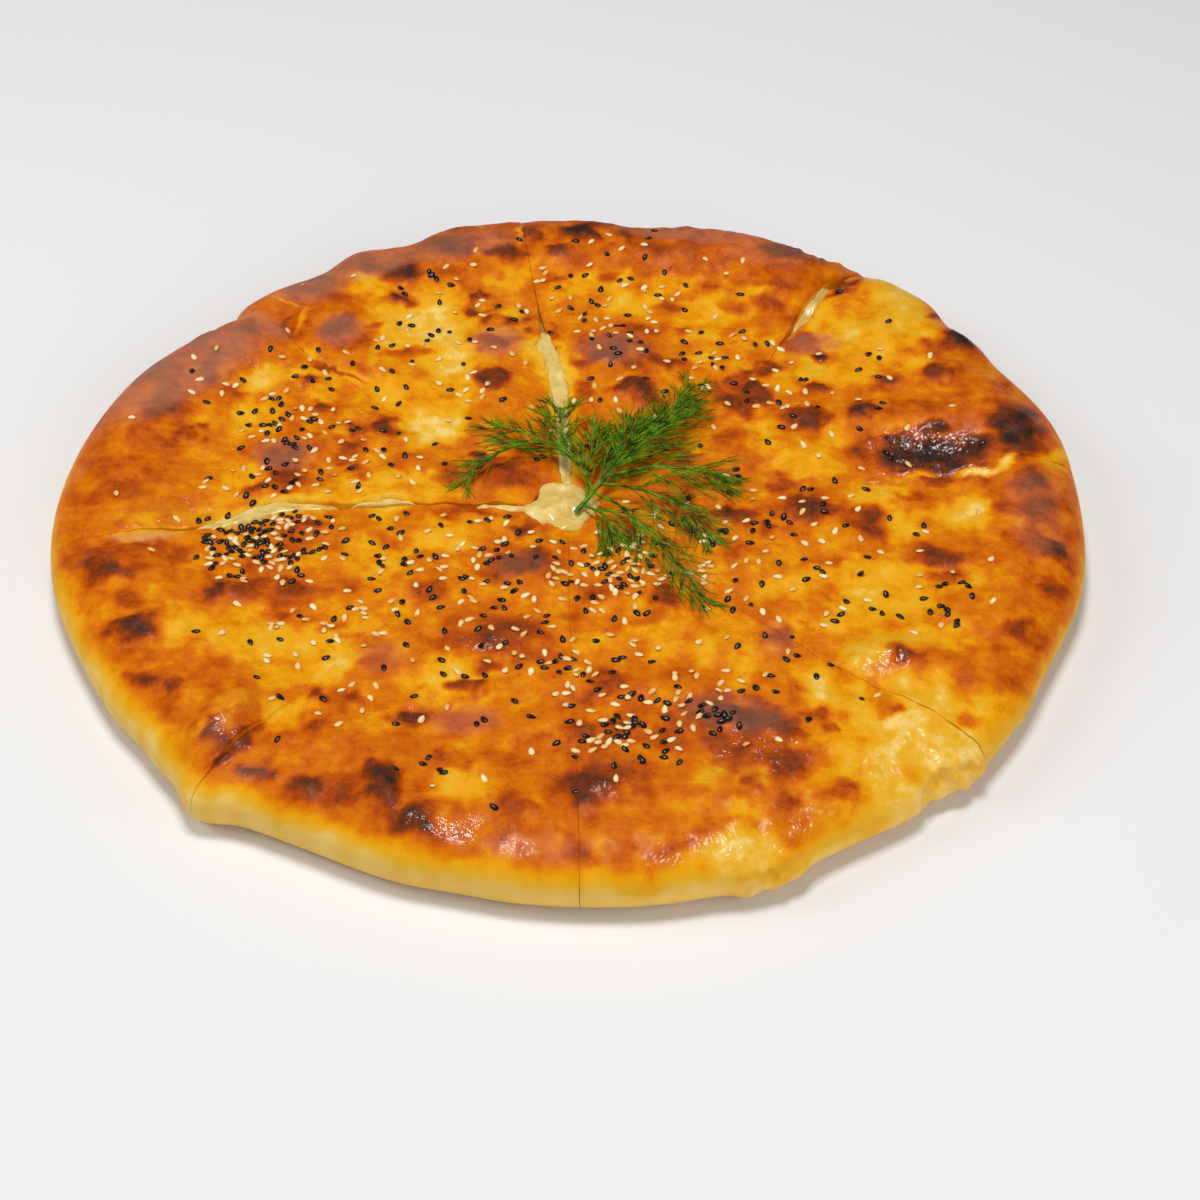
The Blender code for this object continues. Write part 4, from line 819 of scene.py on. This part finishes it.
def pool_radius(angle):
    """How far the melted middle reaches at an angle in radians: just over the tips."""
    total = np.zeros_like(angle)
    weights = np.zeros_like(angle)
    for number, tip in enumerate(TIP_RADII):
        after = math.radians(CUTS[number][0][0])
        middle = after + (math.radians(CUTS[(number + 1) % SLICES][0][0]) - after) % math.tau / 2
        # Each tip counts most in its own direction.
        near = np.exp(6 * (np.cos(angle - middle) - 1))
        total += near * tip
        weights += near
    uneven = 0.9 * ripples(10 * np.cos(angle), 10 * np.sin(angle), 9, 33)
    return total / weights + POOL_SPREAD + uneven


bm = bmesh.new()
outline = interpolate_bezier((0, 1.0, 0), (0.6, 1.0, 0), (0.9, 0.97, 0), (1.0, 0.88, 0), 26)
corners = [bm.verts.new((point.x, 0, point.y)) for point in outline]
corners += [bm.verts.new((0.6, 0, 0.7)), bm.verts.new((0.6, 0, 0)), bm.verts.new((0, 0, 0))]
edges = [bm.edges.new(pair) for pair in zip(corners, corners[1:])]
bmesh.ops.spin(
    bm, geom=corners + edges, cent=(0, 0, 0), axis=(0, 0, 1), angle=math.tau, steps=72, use_merge=True
)
bmesh.ops.remove_doubles(bm, verts=bm.verts, dist=0.0001)
bmesh.ops.recalc_face_normals(bm, faces=bm.faces)
pool = new_piece("melted_pool", bm)
x, y, level = read_places(pool.data)
reach = pool_radius(np.arctan2(y, x))
x, y = x * reach, y * reach
lumpy = 0.35 * ripples(x, y, 9, 31) + 0.1 * ripples(x, y, 4, 32)
write_places(pool.data, x, y, level * (POOL_HEIGHT + lumpy))
pool.data.materials.append(filling)
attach(pool, "root")
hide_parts("melted_middle")


# The sesame: about 530 black and 580 white seeds, scattered by hand before baking and stuck in
# the glaze, thick in some places and hardly any on the outer rim.
SEED_SIZE = (2.9, 1.8, 0.85)
SEED_LIFT = 0.25
SEED_SPACING = 1.55
HIGHEST_SEED = 24.2
STEEPEST_NORMAL = 0.75
TRIES_A_SEED = 6
# Where handfuls fell: place, spread, and how many black and white seeds.
HANDFULS = [
    (-97, -20, 8, 60, 38), (-88, -14, 10, 32, 22), (-90, 40, 13, 22, 24), (-95, 8, 11, 12, 13),
    (-70, 20, 15, 13, 18), (-60, -40, 13, 16, 20), (-30, -25, 15, 20, 22), (-20, -50, 15, 16, 18),
    (10, -35, 9, 18, 28), (20, -32, 5, 5, 14), (0, -70, 8, 12, 18), (15, -103, 9, 32, 30),
    (40, -97, 9, 18, 18), (25, 80, 13, 13, 18), (-30, 100, 18, 14, 17), (5, 105, 10, 8, 9),
    (50, 85, 12, 8, 9), (60, -15, 14, 10, 9), (75, -10, 13, 10, 8), (114, -50, 6, 12, 2),
    (-80, -65, 13, 5, 13), (-65, -72, 12, 5, 11), (45, -30, 12, 7, 14), (15, -30, 9, 5, 13),
    (75, 55, 16, 9, 9), (100, 60, 16, 8, 6), (-50, 65, 18, 9, 14), (28, 122, 16, 12, 14),
    (-105, 60, 12, 6, 8), (95, -45, 16, 8, 7), (-40, -100, 20, 10, 8), (60, -60, 16, 10, 10),
    (0, 0, 70, 85, 100),
]


def on_crust(x, y):
    """The place and normal on the crust straight below, or None over a gap, slope or high blister."""
    for tree in crust_trees:
        place, normal, _, _ = tree.ray_cast(Vector((x, y, 60)) * MM, Vector((0, 0, -1)))
        if place is not None and normal.z > STEEPEST_NORMAL and place.z < HIGHEST_SEED * MM:
            return place, normal
    return None


def scattered(draw):
    """Places and normals of the black and of the white seeds, none on top of another."""
    taken = []
    seeds = {"black": [], "white": []}
    for x, y, spread, *counts in HANDFULS:
        for kind, count in zip(seeds, counts):
            for _ in range(TRIES_A_SEED * count):
                if count == 0:
                    break
                spot = Vector((draw.gauss(x, spread), draw.gauss(y, spread)))
                found = 16 < spot.length < 150 - 12 * draw.random() and on_crust(*spot)
                if found and all((spot - other).length > SEED_SPACING for other in taken):
                    taken.append(spot)
                    seeds[kind].append(found)
                    count -= 1
    return seeds


def sesame(name, places, material, draw):
    """One mesh of many seeds, each a flattened drop that lies in the glaze."""
    drop = bmesh.new()
    bmesh.ops.create_uvsphere(drop, u_segments=8, v_segments=6, radius=0.5)
    bmesh.ops.rotate(drop, verts=drop.verts, matrix=Matrix.Rotation(math.pi / 2, 3, "Y"))
    long, wide, thick = SEED_SIZE
    for vert in drop.verts:
        x, y, z = vert.co
        taper = 1 - 0.5 * x - 0.3 * x**2
        vert.co = (x * long * MM, y * wide * MM * taper, z * thick * MM * taper)
    one = bpy.data.meshes.new("one_seed")
    drop.to_mesh(one)
    drop.free()
    bm = bmesh.new()
    for place, normal in places:
        lie = normal.to_track_quat("Z", "X").to_matrix().to_4x4()
        turn = Matrix.Rotation(draw.uniform(0, math.tau), 4, "Z")
        turn = turn @ Matrix.Rotation(draw.gauss(0, 0.2), 4, "Y")
        size = Matrix.Scale(draw.uniform(0.88, 1.08), 4)
        seed = one.copy()
        seed.transform(Matrix.Translation(place + normal * SEED_LIFT * MM) @ lie @ turn @ size)
        bm.from_mesh(seed)
        bpy.data.meshes.remove(seed)
    piece = new_piece(name, bm)
    tones = np.array([draw.random() for _ in places])
    write_attribute(piece.data, "tone", np.repeat(tones, len(one.vertices)))
    piece.data.materials.append(material)
    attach(piece, "root")


def seed_skin(name, codes, roughness):
    """A seed's skin: each seed has its own tone between two, and it is pitted every 0.6 mm."""
    material, shader = new_material(name)
    tone = add_node(material, "ShaderNodeAttribute", {"attribute_name": "tone"}).outputs["Fac"]
    toned = add_node(
        material, "ShaderNodeMix", {"data_type": "RGBA"}, _0=tone, _6=linear(codes[0]), _7=linear(codes[1])
    ).outputs[2]
    where = add_node(material, "ShaderNodeTexCoord").outputs["Object"]
    pits = add_node(material, "ShaderNodeTexNoise", Vector=where, Scale=1800.0).outputs["Fac"]
    pitted = add_node(
        material, "ShaderNodeBump", Strength=0.3, Distance=0.2 * MM, Height=pits
    ).outputs["Normal"]
    set_sockets(material, shader, Base_Color=toned, Roughness=roughness, Normal=pitted)
    return material


# The black seeds' skin is oily and shines a little, and the white ones have toasted to straw.
black_skin = seed_skin("black_sesame_skin", ("100C0A", "271D18"), 0.3)
white_skin = seed_skin("toasted_sesame_skin", ("F8E0A8", "E0A850"), 0.42)
draw = random.Random(3)
seed_places = scattered(draw)
sesame("black_sesame", seed_places["black"], black_skin, draw)
sesame("white_sesame", seed_places["white"], white_skin, draw)


# The dill: one fresh sprig of soft fronds, cut at its stalk and laid across the middle. Each
# frond's rib bears pairs of branches, and each branch forks into threads under half a millimetre.
STALK_RADIUS = 0.95
RIB_RADIUS = 0.5
THREAD_RADIUS = 0.19
SPRIG_START = (2.5, -4.5)
SPRIG_TOP = 24.6
# Along a rib, where its branches start and over how much of it they stand.
BRANCHES_FROM = 0.16
BRANCHES_OVER = 0.82
RIB_STEPS = 16
THREAD_STEPS = 4
# The frond it grows from and how far along, bend and end of its rib, how far its branches reach,
# how high it arches, and how many pairs of branches it bears.
FRONDS = [
    (None, 0.0, (19, 14), (41, 60), 21, 6.0, 18), (0, 0.16, (2, 24), (-24, 38), 20, 3.5, 9),
    (1, 0.45, (-3, 36), (-3, 50), 17, 2.0, 6), (0, 0.28, (36, 12), (50, 8), 18, 3.0, 8),
    (0, 0.22, (34, 0), (44, -19), 17, 2.0, 8), (0, 0.16, (28, -18), (41, -50), 17, 1.5, 9),
    (0, 0.06, (13, -8), (14, -19), 16, 1.5, 7), (1, 0.62, (-28, 20), (-33, 7), 13, 1.0, 5),
    (0, 0.1, (6, 18), (10, 36), 18, 3.0, 9), (0, 0.2, (20, 24), (24, 43), 18, 4.0, 10),
    (0, 0.4, (34, 34), (39, 48), 16, 3.0, 8),
]


def ground(x, y):
    """The crust's height in millimetres below a place, or the filling's over a gap."""
    found = on_crust(x, y)
    return max(found[0].z / MM if found else 0, MIDDLE_HEIGHT - 0.5)


def rib_point(index, t):
    """A point of a frond's rib: it leaves its parent, arches over the crust and comes down."""
    parent, at, bend, end, _, arch, _ = FRONDS[index]
    if parent is None:
        start = Vector((*SPRIG_START, ground(*SPRIG_START) + STALK_RADIUS + 0.4))
    else:
        start = rib_point(parent, at)
    bend, end = Vector((*bend, 0)), Vector((*end, 0))
    spot = start * (1 - t) ** 2 + bend * 2 * t * (1 - t) + end * t**2
    above = (start.z - ground(start.x, start.y)) * (1 - t) + 0.9 * t + arch * math.sin(math.pi * t)
    return Vector((spot.x, spot.y, min(ground(spot.x, spot.y) + above, SPRIG_TOP - 1.5)))


def add_strand(curve, points, thick, thin):
    """A strand through points, which narrows to its end."""
    spline = curve.splines.new("POLY")
    spline.points.add(len(points) - 1)
    for index, (place, target) in enumerate(zip(points, spline.points)):
        target.co = (*(place * MM), 1.0)
        target.radius = thick + (thin - thick) * index / (len(points) - 1)


def thread(start, heading, length, droop, draw):
    """Points of one thread, which curls a little and falls towards the crust."""
    curl = draw.uniform(-0.35, 0.35)
    points = [start]
    # It falls the faster the further it is along, and the steps' shares of the fall add up to 1.
    shares = sum(range(THREAD_STEPS + 1))
    for step in range(1, THREAD_STEPS + 1):
        heading = Matrix.Rotation(curl / THREAD_STEPS, 3, "Z") @ heading
        place = points[-1] + heading * length / THREAD_STEPS
        place.z += droop * step / shares * length / THREAD_STEPS
        place.z = min(max(place.z, ground(place.x, place.y) + 0.35), SPRIG_TOP)
        points.append(place)
    return points


def forked(heading, side, angles, rises, draw):
    """A heading turned to one side by an angle in degrees, and raised or lowered a little."""
    away = Matrix.Rotation(side * math.radians(draw.uniform(*angles)), 3, "Z") @ heading
    away.z += draw.uniform(*rises)
    return away.normalized()


draw = random.Random(8)
strands = bpy.data.curves.new("dill_strands", "CURVE")
strands.dimensions = "3D"
strands.bevel_depth = MM
strands.bevel_resolution = 1
strands.use_fill_caps = True
for index, (_, _, _, _, reach, _, pairs) in enumerate(FRONDS):
    rib = [rib_point(index, step / RIB_STEPS) for step in range(RIB_STEPS + 1)]
    add_strand(strands, rib, STALK_RADIUS if index == 0 else RIB_RADIUS, THREAD_RADIUS)
    for pair in range(pairs):
        t = BRANCHES_FROM + BRANCHES_OVER * (pair + 0.5) / pairs
        start = rib_point(index, t)
        ahead = (rib_point(index, min(t + 0.05, 1.0)) - rib_point(index, t - 0.05)).normalized()
        # The branches are longest around the middle of the rib.
        long = reach * (0.45 + 0.55 * math.sin(math.pi * min(1.0, 0.2 + t * 0.8)))
        for side in (1, -1):
            away = forked(ahead, side, (10, 34), (-0.15, 0.3), draw)
            branch = thread(start, away, long * draw.uniform(0.8, 1.1), draw.uniform(-2.5, 0.5), draw)
            add_strand(strands, branch, THREAD_RADIUS * 1.3, THREAD_RADIUS * 0.5)
            for at in (1, 2):
                along = (branch[at] - branch[at - 1]).normalized()
                for turn in (1, -1):
                    away = forked(along, turn, (7, 22), (-0.3, 0.4), draw)
                    shorter = long * draw.uniform(0.75, 1.05) * (1.1 - 0.2 * at)
                    twig = thread(branch[at], away, shorter, -1, draw)
                    add_strand(strands, twig, THREAD_RADIUS, THREAD_RADIUS * 0.35)
guide = bpy.data.objects.new("dill_guide", strands)
bpy.context.scene.collection.objects.link(guide)
bpy.context.view_layer.update()
leaf_mesh = bpy.data.meshes.new_from_object(guide.evaluated_get(bpy.context.evaluated_depsgraph_get()))
bpy.data.objects.remove(guide, do_unlink=True)
leaf_mesh.materials.clear()
leaf_mesh.shade_smooth()
dill = bpy.data.objects.new("dill_fronds", leaf_mesh)
bpy.context.scene.collection.objects.link(dill)

# Fresh dill leaf: satin, deep and light green in stretches of about 4 mm, and it lets light in.
leaf, shader = new_material("fresh_dill_leaf")
where = add_node(leaf, "ShaderNodeTexCoord").outputs["Object"]
patchy = add_node(leaf, "ShaderNodeTexNoise", Vector=where, Scale=280.0, Detail=2.0).outputs["Fac"]
greens = add_node(leaf, "ShaderNodeValToRGB", Fac=patchy)
for stop, at, code in zip(greens.color_ramp.elements, (0.35, 0.65), ("183C00", "6A9A10")):
    stop.position = at
    stop.color = linear(code)
set_sockets(
    leaf, shader, Base_Color=greens.outputs["Color"], Roughness=0.5, Specular_IOR_Level=0.3,
    Subsurface_Weight=0.2, Subsurface_Radius=(0.4, 1.0, 0.15), Subsurface_Scale=0.8 * MM,
)
dill.data.materials.append(leaf)
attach(dill, "root")
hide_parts("dill_sprig")


# The studio: a plain pale floor, a soft lamp overhead and a little behind, which the glaze
# mirrors, weaker ones from the left, the front and the right, and dim white all round.

# Matt white laminate, with a haze so faint and wide that the eye takes it for plain.
floor, shader = new_material("matt_white_laminate")
where = add_node(floor, "ShaderNodeTexCoord").outputs["Object"]
haze = add_node(floor, "ShaderNodeTexNoise", Vector=where, Scale=3.0).outputs["Fac"]
hazy = add_node(
    floor, "ShaderNodeMix", {"data_type": "RGBA"}, _0=haze, _6=linear("E6E5E4"), _7=linear("EBEAE9")
).outputs[2]
set_sockets(floor, shader, Base_Color=hazy, Roughness=0.6)
bm = bmesh.new()
bmesh.ops.create_grid(bm, x_segments=1, y_segments=1, size=4.0)
table = new_piece("table", bm)
table.data.materials.append(floor)


def soft_light(name, place, size, power, mirrored):
    """A square soft light at a place, turned to the pie's middle, that the glaze mirrors or not."""
    lamp = bpy.data.lights.new(name, "AREA")
    lamp.size = size
    lamp.energy = power
    holder = bpy.data.objects.new(name, lamp)
    holder.location = place
    holder.rotation_euler = Vector(place).to_track_quat("Z", "Y").to_euler()
    holder.visible_glossy = mirrored
    bpy.context.scene.collection.objects.link(holder)


soft_light("overhead_softbox", (-0.07, 0.08, 1.3), 0.4, 10.7, True)
soft_light("left_softbox", (-1.3, 0.1, 0.9), 0.8, 9.0, False)
soft_light("front_softbox", (0.5, -1.3, 0.7), 1.0, 8.4, False)
soft_light("right_softbox", (1.2, -0.5, 0.6), 0.8, 3.6, False)
surroundings = bpy.data.worlds.new("white_studio")
surroundings.use_nodes = True
sky = surroundings.node_tree.nodes["Background"]
sky.inputs["Color"].default_value = linear("F4F6FA")
sky.inputs["Strength"].default_value = 0.09
bpy.context.scene.world = surroundings
bpy.context.scene.view_settings.view_transform = "Standard"
